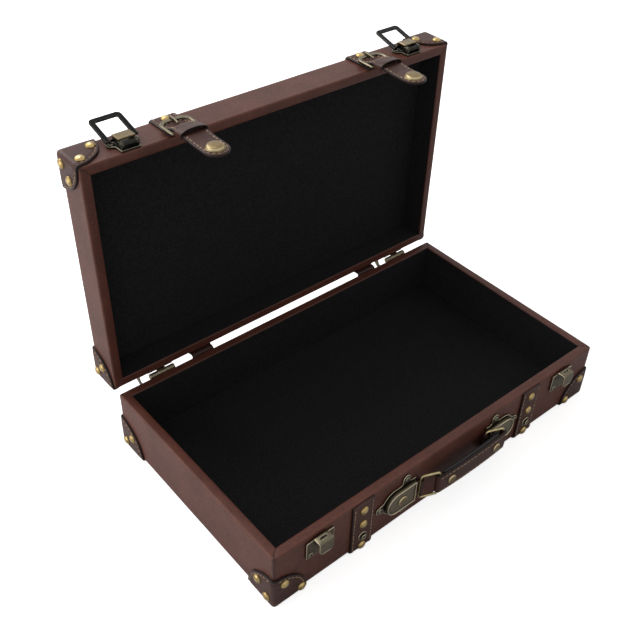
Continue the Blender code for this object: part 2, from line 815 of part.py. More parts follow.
def tongue(side):
    """The loose end of the strap: round at its bend and at its tip, with a hole for the cap's post."""
    x = side * STRAP_X
    half = TONGUE_WIDTH / 2
    path = [in_front(TONGUE_HIGH_OUT, TONGUE_BEND_UP), in_front(TONGUE_LOW_OUT, TONGUE_LOW_UP)]
    path.append(in_front(TONGUE_LOW_OUT, TONGUE_TIP_UP))
    piece = strip(path, TRIM_THICKNESS, TONGUE_WIDTH, x)
    root = in_front(TONGUE_HIGH_OUT, TONGUE_BEND_UP)
    fuse(piece, cylinder_x(x - half, x + half, root.x, root.y, TRIM_THICKNESS / 2, NAIL_STEPS))
    tip = arc((0, TONGUE_TIP_UP + half), half, 180, 360, 4 * BEND_STEPS)
    tip += [Vector((half, TONGUE_BEND_UP + OVERRUN)), Vector((-half, TONGUE_BEND_UP + OVERRUN))]
    depth = TONGUE_HIGH_OUT + TRIM_THICKNESS
    combine(piece, slab([tip], 2 * depth, FRONT_PLANE, (x, FRONT_Y - depth, 0)), "INTERSECT")
    hole = circle((0, 0), CAP_POST_RADIUS + SEAT)
    return cut(piece, slab([hole], 2 * depth, FRONT_PLANE, (x, FRONT_Y, STUD_UP)))


def snap_cap(side):
    """The round cap over the tongue, with the post that reaches down to the stud."""
    top = [(radius, SEAT + height) for radius, height in scaled_profile(CAP_TOP_SHARES, CAP_RADIUS, CAP_HEIGHT)]
    post_end = -TRIM_THICKNESS
    profile = top + [(CAP_POST_RADIUS, SEAT), (CAP_POST_RADIUS, post_end), (0, post_end)]
    surface = TONGUE_LOW_OUT + TRIM_THICKNESS / 2
    return stand(turned(profile, CAP_STEPS), "front", (side * STRAP_X, FRONT_Y, STUD_UP), surface)


def make_tongues(lid_axis):
    for name, side in SIDES.items():
        root = in_front(TONGUE_HIGH_OUT, TONGUE_BEND_UP)
        axis = make_axis(f"tongue_axis_{name}", (side * STRAP_X, *root), lid_axis)
        finish_node(f"tongue_{name}", tongue(side), TRIM_LEATHER, axis)
        finish_node(f"snap_cap_{name}", snap_cap(side), AGED_BRASS, axis)


# Latches


def cheek(x):
    """One ear of the latch plate, round about the lever's pin so that the lever swings past it."""
    back = SEAT + PLATE_THICKNESS / 2
    face = LEVER_PIVOT_OUT + CHEEK_RADIUS
    outline = [in_front(back, LEVER_PIVOT_UP - CHEEK_RADIUS), in_front(back, CHEEK_TOP_UP)]
    outline.append(in_front(face, CHEEK_TOP_UP))
    outline += arc(in_front(LEVER_PIVOT_OUT, LEVER_PIVOT_UP), CHEEK_RADIUS, 180, 270, BEND_STEPS)
    return slab([outline], CHEEK_THICKNESS, SIDE_PLANE, (x, 0, 0))


def latch_plate(side):
    x = side * LATCH_X
    half = LATCH_PLATE_WIDTH / 2
    near = FRONT_Y - SEAT
    far = FRONT_Y - PLATE_SURFACE
    plate = box((x - half, far, LATCH_PLATE_BOTTOM_UP), (x + half, near, LATCH_PLATE_TOP_UP))
    spread = LATCH_EAR_SPREAD
    ears = capsule((-spread, LATCH_EAR_UP), (spread, LATCH_EAR_UP), LATCH_EAR_RADIUS)
    fuse(plate, slab([ears], PLATE_THICKNESS, FRONT_PLANE, (x, (near + far) / 2, 0)))
    reach = CHEEK_SPREAD + CHEEK_THICKNESS / 2
    fuse(plate, cheek(x - reach), cheek(x + reach))
    pin = in_front(LEVER_PIVOT_OUT, LEVER_PIVOT_UP)
    return fuse(plate, cylinder_x(x - reach, x + reach, pin.x, pin.y, LATCH_PIN_RADIUS, NAIL_STEPS))


def lever_flange(x):
    """One side of the lever, from its own pin to the bail's pin."""
    face = LEVER_PIVOT_OUT + CHEEK_RADIUS + SEAT + LEVER_PLATE / 2
    top = BAIL_PIVOT_UP + BAIL_EYE_RADIUS
    outline = [in_front(face, LEVER_PIVOT_UP - LEVER_FOOT_DROP)]
    outline += arc(in_front(LEVER_PIVOT_OUT, LEVER_PIVOT_UP), LEVER_EYE_RADIUS, 270, 360, BEND_STEPS)
    outline += arc(in_front(BAIL_PIVOT_OUT, BAIL_PIVOT_UP), BAIL_EYE_RADIUS, 0, 90, BEND_STEPS)
    outline.append(in_front(face, top))
    return slab([outline], LEVER_FLANGE, SIDE_PLANE, (x, 0, 0))


def lever(side):
    x = side * LATCH_X
    inner = LEVER_PIVOT_OUT + CHEEK_RADIUS + SEAT
    low = (x - LEVER_WIDTH / 2, FRONT_Y - inner - LEVER_PLATE, LEVER_PIVOT_UP - LEVER_FOOT_DROP)
    high = (x + LEVER_WIDTH / 2, FRONT_Y - inner, BAIL_PIVOT_UP + BAIL_EYE_RADIUS)
    reach = CHEEK_SPREAD - SEAT - LEVER_FLANGE / 2
    piece = fuse(box(low, high), lever_flange(x - reach), lever_flange(x + reach))
    bore = LATCH_PIN_RADIUS + SEAT
    for pivot in (in_front(LEVER_PIVOT_OUT, LEVER_PIVOT_UP), in_front(BAIL_PIVOT_OUT, BAIL_PIVOT_UP)):
        cut(piece, cylinder_x(x - LEVER_WIDTH / 2, x + LEVER_WIDTH / 2, pivot.x, pivot.y, bore, HINGE_STEPS))
    return piece


def bail(side):
    """The flat wire frame that hooks the keeper, drawn pointing straight up from its pin."""
    x = side * LATCH_X
    half = BAIL_WIDTH / 2
    inner = half - BAIL_STOCK
    top = BAIL_REACH
    outline = [Vector((inner, 0)), Vector((half, 0))]
    outline += arc((half - BAIL_CORNER_RADIUS, top - BAIL_CORNER_RADIUS), BAIL_CORNER_RADIUS, 0, 90, BEND_STEPS)
    outline += arc((BAIL_CORNER_RADIUS - half, top - BAIL_CORNER_RADIUS), BAIL_CORNER_RADIUS, 90, 180, BEND_STEPS)
    outline += [Vector((-half, 0)), Vector((-inner, 0))]
    outline += [Vector((-inner, top - BAIL_STOCK)), Vector((inner, top - BAIL_STOCK))]
    pivot = in_front(BAIL_PIVOT_OUT, BAIL_PIVOT_UP)
    frame = slab([outline], BAIL_THICKNESS, FRONT_PLANE, (x, *pivot))
    return fuse(frame, cylinder_x(x - half, x + half, pivot.x, pivot.y, LATCH_PIN_RADIUS, NAIL_STEPS))


def screws(facing, places, surface):
    """Low domed screw heads, pressed a little way into their plate."""
    heads = []
    for place in places:
        head = dome(SCREW_RADIUS, SCREW_HEIGHT, SCREW_STEPS, FLAT_DOME_SHARES)
        heads.append(stand(head, facing, place, surface - HEAD_SINK))
    return heads


def screw_pair(facing, x, spread, y, up, surface):
    return screws(facing, [(x - spread, y, up), (x + spread, y, up)], surface)


def make_latches(lid_axis):
    for name, side in SIDES.items():
        x = side * LATCH_X
        lever_axis = make_axis(f"lever_axis_{name}", (x, *in_front(LEVER_PIVOT_OUT, LEVER_PIVOT_UP)), lid_axis)
        bail_axis = make_axis(f"bail_axis_{name}", (x, *in_front(BAIL_PIVOT_OUT, BAIL_PIVOT_UP)), lever_axis)
        bail_axis.empty.rotation_euler.x = math.radians(BAIL_REST_ANGLE)
        heads = screw_pair("front", x, LATCH_EAR_SPREAD, FRONT_Y, LATCH_EAR_UP, PLATE_SURFACE)
        plate = with_heads(latch_plate(side), DARK_METAL, heads, BLACK_METAL)
        finish_node(f"latch_plate_{name}", plate, DARK_METAL, lid_axis)
        finish_node(f"latch_lever_{name}", lever(side), AGED_BRASS, lever_axis)
        finish_node(f"latch_bail_{name}", bail(side), BLACK_METAL, bail_axis)


def hook(x):
    """The bent strip of the keeper, with its slot and its rounded lip."""
    back = SEAT + PLATE_THICKNESS / 2
    face = HOOK_OUT - PLATE_THICKNESS / 2
    top = HOOK_TOP_UP - PLATE_THICKNESS / 2
    path = [in_front(back, HOOK_BACK_BOTTOM_UP), in_front(back, top), in_front(face, top)]
    path.append(in_front(face, HOOK_LIP_BOTTOM_UP))
    piece = strip(path, PLATE_THICKNESS, HOOK_WIDTH, x)
    profile = rounded_outline(HOOK_WIDTH / 2, HOOK_LIP_BOTTOM_UP, HOOK_TOP_UP + OVERRUN, HOOK_LIP_RADIUS, SEAT)
    combine(piece, slab([profile], 2 * HOOK_OUT + OVERRUN, FRONT_PLANE, (x, FRONT_Y, 0)), "INTERSECT")
    slot_y = FRONT_Y - HOOK_OUT / 2
    low = (x - SLOT_LENGTH / 2, slot_y - SLOT_WIDTH / 2, top - PLATE_THICKNESS)
    high = (x + SLOT_LENGTH / 2, slot_y + SLOT_WIDTH / 2, top + PLATE_THICKNESS)
    return cut(piece, box(low, high))


def keeper(side):
    x = side * LATCH_X
    half = KEEPER_WIDTH / 2
    near = FRONT_Y - SEAT
    far = FRONT_Y - PLATE_SURFACE
    plate = box((x - half, far, KEEPER_EAR_BOTTOM_UP), (x + half, near, KEEPER_EAR_TOP_UP))
    return fuse(plate, hook(x))


def make_keepers():
    for name, side in SIDES.items():
        spread = KEEPER_SCREW_SPREAD
        heads = screw_pair("front", side * LATCH_X, spread, FRONT_Y, KEEPER_SCREW_UP, PLATE_SURFACE)
        piece = with_heads(keeper(side), AGED_BRASS, heads, BLACK_METAL)
        finish_node(f"keeper_{name}", piece, AGED_BRASS)


# Hinges


def knuckle(x, start, end, way):
    """A rolled knuckle around the pin, with the short run of leaf that it is rolled from."""
    middle = Vector((HINGE_Y, HINGE_UP))
    meet = math.degrees(math.acos((BARREL_RADIUS - HINGE_LEAF) / BARREL_RADIUS))
    tail = HINGE_UP + way * (HINGE_BACK + OVERRUN)
    outer = arc(middle, BARREL_RADIUS, -way * 180, way * (180 - meet), HINGE_STEPS)
    outer += [Vector((REAR_Y + SEAT + HINGE_LEAF, tail)), Vector((REAR_Y + SEAT, tail))]
    bore = circle(middle, HINGE_PIN_RADIUS + SEAT)
    return slab([outer, bore], end - start, SIDE_PLANE, (x + (start + end) / 2, 0, 0))


def hinge_leaf(side, way, stretches):
    """A hinge leaf that reaches down or up from the pin, with a knuckle over each stretch of x."""
    x = side * HINGE_X
    half = HINGE_WIDTH / 2
    near = REAR_Y + SEAT
    clear, reach = sorted((HINGE_UP + way * HINGE_BACK, HINGE_UP + way * HINGE_LEAF_REACH))
    leaf = box((x - half, near, clear), (x + half, near + HINGE_LEAF, reach))
    for start, end in stretches:
        fuse(leaf, knuckle(x, start, end, way))
    return leaf


def stop_arm(side):
    """The arm beside the hinge that meets the base's rear face when the lid stands open."""
    x = side * HINGE_X - HINGE_WIDTH / 2 - STOP_ARM_OFFSET
    leaf = -HINGE_BACK + SEAT
    points = [(leaf, STOP_FOOT_HIGH), (leaf, STOP_FOOT_LOW), (STOP_ARM_NEAR, STOP_ARM_NEAR)]
    points += [(STOP_ARM_NEAR, leaf), (STOP_ARM_FAR, leaf), (STOP_ARM_FAR, STOP_FOOT_LOW)]
    points.append((STOP_ARM_NEAR, STOP_FOOT_HIGH))
    outline = [Vector((HINGE_Y + back, HINGE_UP + up)) for back, up in points]
    arm = slab([outline], STOP_ARM_THICKNESS, SIDE_PLANE, (x, 0, 0))
    low = (x, REAR_Y + SEAT, HINGE_UP + STOP_FOOT_LOW)
    high = (x + STOP_ARM_OFFSET + OVERRUN, REAR_Y + SEAT + HINGE_LEAF, HINGE_UP + STOP_FOOT_HIGH)
    return fuse(arm, box(low, high))


def make_hinges(lid_axis):
    half = HINGE_WIDTH / 2
    middle = HINGE_MIDDLE_KNUCKLE / 2
    base_stretches = ((-half, -middle - SEAT), (middle + SEAT, half))
    lid_stretches = ((-middle, middle),)
    surface = SEAT + HINGE_LEAF
    for name, side in SIDES.items():
        x = side * HINGE_X
        for leaf_name, way, stretches, axis in (("base", -1, base_stretches, None), ("lid", 1, lid_stretches, lid_axis)):
            leaf = hinge_leaf(side, way, stretches)
            if axis:
                fuse(leaf, stop_arm(side))
            up = HINGE_UP + way * HINGE_SCREW_REACH
            heads = screw_pair("rear", x, HINGE_SCREW_SPREAD, REAR_Y, up, surface)
            leaf = with_heads(leaf, AGED_BRASS, heads, BLACK_METAL)
            finish_node(f"{leaf_name}_hinge_leaf_{name}", leaf, AGED_BRASS, axis)
        pin = cylinder_x(x - half, x + half, HINGE_Y, HINGE_UP, HINGE_PIN_RADIUS, SCREW_STEPS)
        finish_node(f"hinge_pin_{name}", pin, AGED_BRASS)


# Handle


def d_outline(side, flat, end, half):
    """A plate that is flat towards the ring and round at its outer end, drawn about the ring's bar."""
    middle = end - half
    points = [Vector((flat, half)), Vector((flat, -half))]
    points += arc((middle, 0), half, -90, 90, 2 * BEND_STEPS)
    return [Vector((side * point.x, point.y)) for point in points]


def flat_slab(outline, inner_out, outer_out):
    """A slab on the front face, drawn about the ring's bar."""
    return slab([outline], outer_out - inner_out, FRONT_PLANE, (0, -(inner_out + outer_out) / 2, 0))


def handle_screws(side):
    reach = side * HANDLE_EAR_REACH
    places = [(reach, 0, -HANDLE_EAR_SPREAD), (reach, 0, HANDLE_EAR_SPREAD), (side * HANDLE_EAR_END, 0, 0)]
    return screws("front", places, SEAT + HANDLE_PLATE_THICKNESS)


def handle_plate(side):
    """A plate that is flat towards the ring, round at its outer end, with three round screw ears."""
    half = HANDLE_PLATE_HALF
    ear = HANDLE_EAR_RADIUS
    root = half - SEAT
    middle = HANDLE_PLATE_END - half
    turn = math.degrees(math.asin(ear / half))
    points = [Vector((HANDLE_PLATE_FLAT, half)), Vector((HANDLE_PLATE_FLAT, -half))]
    points += [Vector((HANDLE_EAR_REACH - ear, -root))]
    points += arc((HANDLE_EAR_REACH, -HANDLE_EAR_SPREAD), ear, 180, 360, 2 * BEND_STEPS)
    points += [Vector((HANDLE_EAR_REACH + ear, -root))]
    points += arc((middle, 0), half, -90, -turn, BEND_STEPS)
    points += arc((HANDLE_EAR_END, 0), ear, -90, 90, 2 * BEND_STEPS)
    points += arc((middle, 0), half, turn, 90, BEND_STEPS)
    points += [Vector((HANDLE_EAR_REACH + ear, root))]
    points += arc((HANDLE_EAR_REACH, HANDLE_EAR_SPREAD), ear, 0, 180, 2 * BEND_STEPS)
    points += [Vector((HANDLE_EAR_REACH - ear, root))]
    outline = [Vector((side * point.x, point.y)) for point in points]
    piece = flat_slab(outline, SEAT, SEAT + HANDLE_PLATE_THICKNESS)
    return with_heads(piece, AGED_BRASS, handle_screws(side), BLACK_METAL)


def handle_cap(side):
    """A hollow cap over the tab, open towards the ring, with a raised border and a rivet."""
    inner_out = 2 * SEAT + HANDLE_PLATE_THICKNESS
    outer = d_outline(side, CAP_FLAT, CAP_END, CAP_HALF)
    wall = CAP_WALL
    cavity = d_outline(side, CAP_FLAT - OVERRUN, CAP_END - wall, CAP_HALF - wall)
    border = CAP_BORDER_WIDTH
    recess = d_outline(side, CAP_FLAT + border, CAP_END - border, CAP_HALF - border)
    piece = flat_slab(outer, inner_out, CAP_OUT + CAP_BORDER)
    hollow = flat_slab(cavity, inner_out - OVERRUN, CAP_OUT - wall)
    cut(piece, hollow, flat_slab(recess, CAP_OUT, CAP_OUT + CAP_BORDER + OVERRUN))
    rivet = dome(CAP_RIVET_RADIUS, CAP_RIVET_HEIGHT, NAIL_STEPS)
    stand(rivet, "front", (side * CAP_RIVET_REACH, 0, 0), CAP_OUT - HEAD_SINK)
    return with_heads(piece, AGED_BRASS, [rivet], GOLD_BRASS)


def tab(side):
    """The leather tab that holds the ring's bar and runs back under the cap."""
    radius = RING_EYE_RADIUS + TAB_THICKNESS / 2
    path = [Vector((TAB_END, TAB_OUT)), Vector((TAB_BEND, TAB_OUT))]
    path += arc((0, RING_PIVOT_OUT), radius, 270, WRAP_END_ANGLE, 3 * BEND_STEPS)
    outline = [Vector((side * point.x, -point.y)) for point in ribbon(path, TAB_THICKNESS)]
    return slab([outline], TAB_WIDTH, TOP_PLANE, (0, 0, 0))


def make_handle_mounts():
    for name, side in SIDES.items():
        place = Matrix.Translation((side * RING_PIVOT_X, FRONT_Y, HANDLE_UP))
        finish_node(f"handle_plate_{name}", moved(handle_plate(side), place), AGED_BRASS)
        finish_node(f"handle_cap_{name}", moved(handle_cap(side), place), AGED_BRASS)
        finish_node(f"handle_tab_{name}", moved(tab(side), place), TRIM_LEATHER)


def ring(pivot):
    """A rectangular wire ring, drawn flat from its pivot bar towards +X."""
    half = RING_HEIGHT / 2
    middle = RING_WIDTH / 2
    radius = RING_CORNER_RADIUS
    flat = rounded_outline(middle, -half, half, radius, radius)
    points = [(pivot.x + middle + point.x, pivot.y, pivot.z + point.y) for point in flat]
    return wire(points, RING_WIRE_RADIUS, True)


def grip_point(share):
    """A point on the middle line of the handle strap's front run, from the left bar, and its slope."""
    along = GRIP_SPAN * share
    out = RING_EYE_RADIUS + GRIP_THICKNESS / 2 + 4 * GRIP_BOW * share * (1 - share)
    slope = 4 * GRIP_BOW * (1 - 2 * share) / GRIP_SPAN
    return Vector((along, out)), slope


def grip_slab(path, thickness, origin):
    outline = [Vector((origin.x + point.x, origin.y - point.y)) for point in ribbon(path, thickness)]
    return slab([outline], GRIP_HEIGHT, TOP_PLANE, (0, 0, origin.z))


def grip_strap(origin):
    """The stitched strap, wrapped round a ring's bar at each end and bowed outwards between them."""
    radius = RING_EYE_RADIUS + GRIP_THICKNESS / 2
    path = arc((0, 0), radius, 360 - WRAP_END_ANGLE, 90, 3 * BEND_STEPS)
    path += [grip_point(index / GRIP_STEPS)[0] for index in range(1, GRIP_STEPS)]
    path += arc((GRIP_SPAN, 0), radius, 90, WRAP_END_ANGLE - 180, 3 * BEND_STEPS)
    return grip_slab(path, GRIP_THICKNESS, origin)


def grip_backing(origin):
    """The padded strip behind the strap."""
    drop = GRIP_THICKNESS / 2 + SEAT + BACKING_THICKNESS / 2
    inset = BACKING_INSET / GRIP_SPAN
    path = []
    for index in range(GRIP_STEPS + 1):
        point, slope = grip_point(inset + (1 - 2 * inset) * index / GRIP_STEPS)
        path.append(point + Vector((slope, -1)).normalized() * drop)
    return grip_slab(path, BACKING_THICKNESS, origin)


def grip_rivets(origin):
    rivets = []
    inset = GRIP_RIVET_INSET / GRIP_SPAN
    for share in (inset, 1 - inset):
        point, slope = grip_point(share)
        seat = point + Vector((-slope, 1)).normalized() * (GRIP_THICKNESS / 2 - HEAD_SINK)
        place = Matrix.Translation((origin.x + seat.x, origin.y - seat.y, origin.z))
        lean = Matrix.Rotation(-math.atan(slope), 4, "Z")
        rivet = dome(GRIP_RIVET_RADIUS, GRIP_RIVET_HEIGHT, NAIL_STEPS)
        rivets.append(moved(rivet, place @ lean @ FACING["front"]))
    return rivets


def make_handle():
    turn = math.radians(RING_REST_ANGLE)
    axes = {}
    for name, side in SIDES.items():
        pivot = Vector((side * RING_PIVOT_X, FRONT_Y - RING_PIVOT_OUT, HANDLE_UP))
        axes[name] = make_axis(f"ring_axis_{name}", pivot)
        axes[name].empty.rotation_euler.z = -turn
        finish_node(f"handle_ring_{name}", ring(pivot), GOLD_BRASS, axes[name])
    bar = axes["left"].point + Vector((RING_WIDTH, 0, 0))
    grip_axis = make_axis("grip_axis", bar, axes["left"])
    grip_axis.empty.rotation_euler.z = turn
    strap = with_heads(grip_strap(bar), TRIM_LEATHER, grip_rivets(bar), GOLD_BRASS)
    finish_node("handle_strap", strap, TRIM_LEATHER, grip_axis)
    finish_node("handle_backing", grip_backing(bar), BLACK_PADDING, grip_axis)


def main():
    clear_scene()
    start_collection()
    lid_axis = make_axis("lid_axis", (0, HINGE_Y, HINGE_UP))
    lid_axis.empty.rotation_euler.x = -math.radians(OPEN_ANGLE)
    for tray, axis in ((BASE, None), (LID, lid_axis)):
        make_boards(tray, axis)
        make_cover(tray, axis)
        make_lining(tray, axis)
        make_corners(tray, axis)
    make_bottom_sheet()
    make_straps(lid_axis)
    make_studs()
    make_buckles(lid_axis)
    make_tongues(lid_axis)
    make_latches(lid_axis)
    make_keepers()
    make_hinges(lid_axis)
    make_handle_mounts()
    make_handle()


main()
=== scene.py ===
"""A small travelling case in brown leather, standing open with its lid at a right angle.

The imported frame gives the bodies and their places. This script builds the leather, cloth, thread and metal that are
seen, dresses each piece in its finish, and sets up the floor, the light and the camera. Lengths are in metres.
"""

import json
import logging
import math
import random
from collections.abc import Sequence
from dataclasses import dataclass
from enum import Enum

import bmesh
import bpy
from mathutils import Matrix, Vector, noise


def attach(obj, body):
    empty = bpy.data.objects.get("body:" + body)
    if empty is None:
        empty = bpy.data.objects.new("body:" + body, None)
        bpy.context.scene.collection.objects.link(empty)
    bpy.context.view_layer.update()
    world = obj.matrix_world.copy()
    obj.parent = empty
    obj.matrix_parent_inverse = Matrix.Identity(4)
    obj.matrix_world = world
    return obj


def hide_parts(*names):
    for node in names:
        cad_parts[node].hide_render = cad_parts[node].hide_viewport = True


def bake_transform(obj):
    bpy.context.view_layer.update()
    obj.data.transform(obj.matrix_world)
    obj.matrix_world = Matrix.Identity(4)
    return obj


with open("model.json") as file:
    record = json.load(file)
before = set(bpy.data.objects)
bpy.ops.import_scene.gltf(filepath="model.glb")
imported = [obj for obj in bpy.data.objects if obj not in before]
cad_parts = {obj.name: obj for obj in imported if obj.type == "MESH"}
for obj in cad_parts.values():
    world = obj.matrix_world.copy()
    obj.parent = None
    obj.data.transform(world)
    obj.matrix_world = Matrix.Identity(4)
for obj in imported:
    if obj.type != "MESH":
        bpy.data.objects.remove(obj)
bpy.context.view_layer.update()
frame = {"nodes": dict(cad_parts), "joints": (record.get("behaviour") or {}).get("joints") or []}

LOG = logging.getLogger("travelling_case")
CHANCE = random.Random(7)

LENGTH = 0.400
WIDTH = 0.231
BASE_BOTTOM = 0.0021
BASE_TOP = 0.0625
LID_RIM = 0.063
LID_TOP = 0.095
RIM = 0.009
ROUND = 0.0015
SEAT = 0.0003
TRIM = 0.0018
TRIM_TOP = 0.0021
NAIL_RADIUS = 0.0045
NAIL_HEIGHT = 0.0026
NAIL_MARGIN = 0.0008
SIDE_NAIL_SHARE = 0.42
SIDE_NAIL_ANGLES = (52, 47)
FRONT_Y = -WIDTH / 2
REAR_Y = WIDTH / 2
SIDES = {"left": -1, "right": 1}

Colour = tuple[float, float, float]
Outline = list[Vector]
Spot = tuple[Vector, Vector]


# Places


def joint_point(name: str) -> Vector:
    """Gives a joint's place in the row frame."""
    return Vector(next(joint["pos_m"] for joint in frame["joints"] if joint["name"] == name))


def turn_about(point: Vector, degrees: float, axis: str) -> Matrix:
    """The matrix of a turn about a line through a point, along X, Y or Z."""
    return Matrix.Translation(point) @ Matrix.Rotation(math.radians(degrees), 4, axis) @ Matrix.Translation(-point)


HINGE = joint_point("lid_hinge")
OPEN = turn_about(HINGE, -90, "X")
AS_DRAWN = Matrix.Identity(4)
ACROSS_LATCH = Matrix(((0, 0, 1, 0), (0, 1, 0, 0), (1, 0, 0, 0), (0, 0, 0, 1)))
ACROSS_HINGE = Matrix(((0, 0, 1, 0), (1, 0, 0, 0), (0, 1, 0, 0), (0, 0, 0, 1)))


class Facing(Enum):
    """Frames on the upright faces: the values run along the face, upwards and outwards."""

    FRONT = Matrix(((1, 0, 0, 0), (0, 0, -1, FRONT_Y), (0, 1, 0, 0), (0, 0, 0, 1)))
    REAR = Matrix(((1, 0, 0, 0), (0, 0, 1, REAR_Y), (0, 1, 0, 0), (0, 0, 0, 1)))
    LEFT = Matrix(((0, 0, -1, -LENGTH / 2), (1, 0, 0, 0), (0, 1, 0, 0), (0, 0, 0, 1)))
    RIGHT = Matrix(((0, 0, 1, LENGTH / 2), (1, 0, 0, 0), (0, 1, 0, 0), (0, 0, 0, 1)))

    def at(self, along: float, up: float, out: float) -> Matrix:
        """The frame moved to a place on this face."""
        return self.value @ Matrix.Translation((along, up, out))


# Shader building


class Tree:
    """Adds nodes to a shader tree and joins them."""

    def __init__(self, tree: bpy.types.NodeTree) -> None:
        """Keeps the tree.

        Args:
            tree: The node tree of a material, a world or a group.
        """
        self.tree = tree

    def add(self, kind: str, inputs: dict | None = None, **settings: object) -> bpy.types.Node:
        """Adds a node.

        Args:
            kind: The node's type without its Shader prefix.
            inputs: Values or sockets for its inputs, by name or number.
            settings: Its other settings.

        Returns:
            The node.
        """
        node = self.tree.nodes.new(kind if kind.startswith("NodeGroup") else f"ShaderNode{kind}")
        for name, value in settings.items():
            setattr(node, name, value)
        for name, value in (inputs or {}).items():
            if isinstance(value, bpy.types.NodeSocket):
                self.tree.links.new(value, node.inputs[name])
            else:
                node.inputs[name].default_value = value
        return node

    def math(self, operation: str, *values: object) -> bpy.types.NodeSocket:
        """Joins a math node to values or sockets, and gives its result."""
        return self.add("Math", dict(enumerate(values)), operation=operation).outputs[0]

    def scale(self, value: bpy.types.NodeSocket, low: float, high: float) -> bpy.types.NodeSocket:
        """Maps a value from 0 to 1 onto a range."""
        return self.math("MULTIPLY_ADD", value, high - low, low)

    def steps(self, value: bpy.types.NodeSocket, start: float, end: float) -> bpy.types.NodeSocket:
        """Gives 0 below the start, 1 above the end, and a smooth rise between them."""
        inputs = {0: value, 1: start, 2: end}
        return self.add("MapRange", inputs, interpolation_type="SMOOTHSTEP").outputs[0]

    def mix(self, factor: object, first: object, second: object, blend: str = "MIX") -> bpy.types.NodeSocket:
        """Mixes two colours.

        Args:
            factor: The share of the second colour, as a value or a socket.
            first: The first colour, as three values or a socket.
            second: The second colour, as three values or a socket.
            blend: The way of mixing.

        Returns:
            The mixed colour's socket.
        """
        colours = [value if isinstance(value, bpy.types.NodeSocket) else (*value, 1.0) for value in (first, second)]
        inputs = {0: factor, 6: colours[0], 7: colours[1]}
        return self.add("Mix", inputs, data_type="RGBA", blend_type=blend).outputs[2]

    def attribute(self, name: str) -> bpy.types.NodeSocket:
        """Reads a value painted on the mesh."""
        return self.add("Attribute", attribute_name=name).outputs["Fac"]

    def effect(self, effect: "Effect", inputs: dict | None = None) -> bpy.types.Node:
        """Adds a shared effect."""
        return self.add("Group", inputs, node_tree=effect.group())


class Effect(Enum):
    """Effects that several finishes share, each one a node group."""

    GRAIN = "leather_grain"
    WEAVE = "cloth_weave"
    # The edge mask stands for worn edges and also paints highlights along them.
    WEAR_AND_HIGHLIGHT = "edge_wear_and_highlight"
    PATINA = "patina"
    SPECKS = "specks"

    def group(self) -> bpy.types.NodeTree:
        """Gives the effect's node group, and makes it the first time."""
        found = bpy.data.node_groups.get(self.value)
        return found or EFFECT_MAKERS[self]()


def new_group(effect: Effect, inputs: dict[str, float], outputs: Sequence[str]) -> Tree:
    """Starts a node group.

    Args:
        effect: The effect that it is for.
        inputs: Its input values, by name.
        outputs: The names of the values that it gives.

    Returns:
        The group's tree, with its input node named in and its output node named out.
    """
    group = bpy.data.node_groups.new(effect.value, "ShaderNodeTree")
    for name, value in inputs.items():
        group.interface.new_socket(name, in_out="INPUT", socket_type="NodeSocketFloat").default_value = value
    for name in outputs:
        group.interface.new_socket(name, in_out="OUTPUT", socket_type="NodeSocketFloat")
    tree = Tree(group)
    tree.add("NodeGroupInput").name = "in"
    tree.add("NodeGroupOutput").name = "out"
    return tree


def give(tree: Tree, values: dict[str, bpy.types.NodeSocket]) -> bpy.types.NodeTree:
    """Joins a group's results to its output node.

    Args:
        tree: The group's tree.
        values: The results, by the name of their output.

    Returns:
        The node group.
    """
    for name, socket in values.items():
        tree.tree.links.new(socket, tree.tree.nodes["out"].inputs[name])
    return tree.tree


def make_grain() -> bpy.types.NodeTree:
    """Pebbled leather: a height, a cloudy tone and fine creases.

    Returns:
        The node group.
    """
    tree = new_group(Effect.GRAIN, {"Scale": 1300.0}, ("Height", "Cloud", "Crease"))
    place = tree.add("TexCoord").outputs["Object"]
    scale = tree.tree.nodes["in"].outputs["Scale"]
    soft = tree.add("TexNoise", {"Vector": place, "Scale": 240.0, "Detail": 3.0}).outputs["Color"]
    bent = tree.add("VectorMath", {0: soft, 1: (0.0011, 0.0011, 0.0011), 2: place}, operation="MULTIPLY_ADD")
    cells = tree.add("TexVoronoi", {"Vector": bent.outputs[0], "Scale": scale}, feature="SMOOTH_F1")
    pebble = tree.math("SUBTRACT", 1.0, cells.outputs["Distance"])
    broad = tree.add("TexNoise", {"Vector": place, "Scale": 38.0, "Detail": 5.0, "Roughness": 0.6}).outputs[0]
    crease = tree.add("TexNoise", {"Vector": place, "Scale": 420.0, "Detail": 4.0, "Distortion": 0.6}).outputs[0]
    height = tree.math("MULTIPLY_ADD", crease, 0.5, pebble)
    height = tree.math("MULTIPLY_ADD", broad, 1.2, height)
    return give(tree, {"Height": height, "Cloud": tree.steps(broad, 0.32, 0.68), "Crease": crease})


def make_weave() -> bpy.types.NodeTree:
    """Plain woven cloth: a height of crossed threads and a slubby tone.

    Returns:
        The node group.
    """
    tree = new_group(Effect.WEAVE, {"Pitch": 0.0011}, ("Height", "Slub"))
    place = tree.add("TexCoord").outputs["Object"]
    pitch = tree.tree.nodes["in"].outputs["Pitch"]
    turns = tree.math("DIVIDE", 2 * math.pi, pitch)
    sway = tree.add("TexNoise", {"Vector": place, "Scale": 90.0, "Detail": 2.0}).outputs[0]
    total = 0.0
    for axis in tree.add("SeparateXYZ", {0: place}).outputs:
        angle = tree.math("MULTIPLY_ADD", axis, turns, tree.math("MULTIPLY", sway, 3.0))
        total = tree.math("ADD", tree.math("SINE", angle), total)
    slub = tree.add("TexNoise", {"Vector": place, "Scale": 700.0, "Detail": 3.0}).outputs[0]
    return give(tree, {"Height": tree.math("MULTIPLY_ADD", slub, 1.5, total), "Slub": slub})


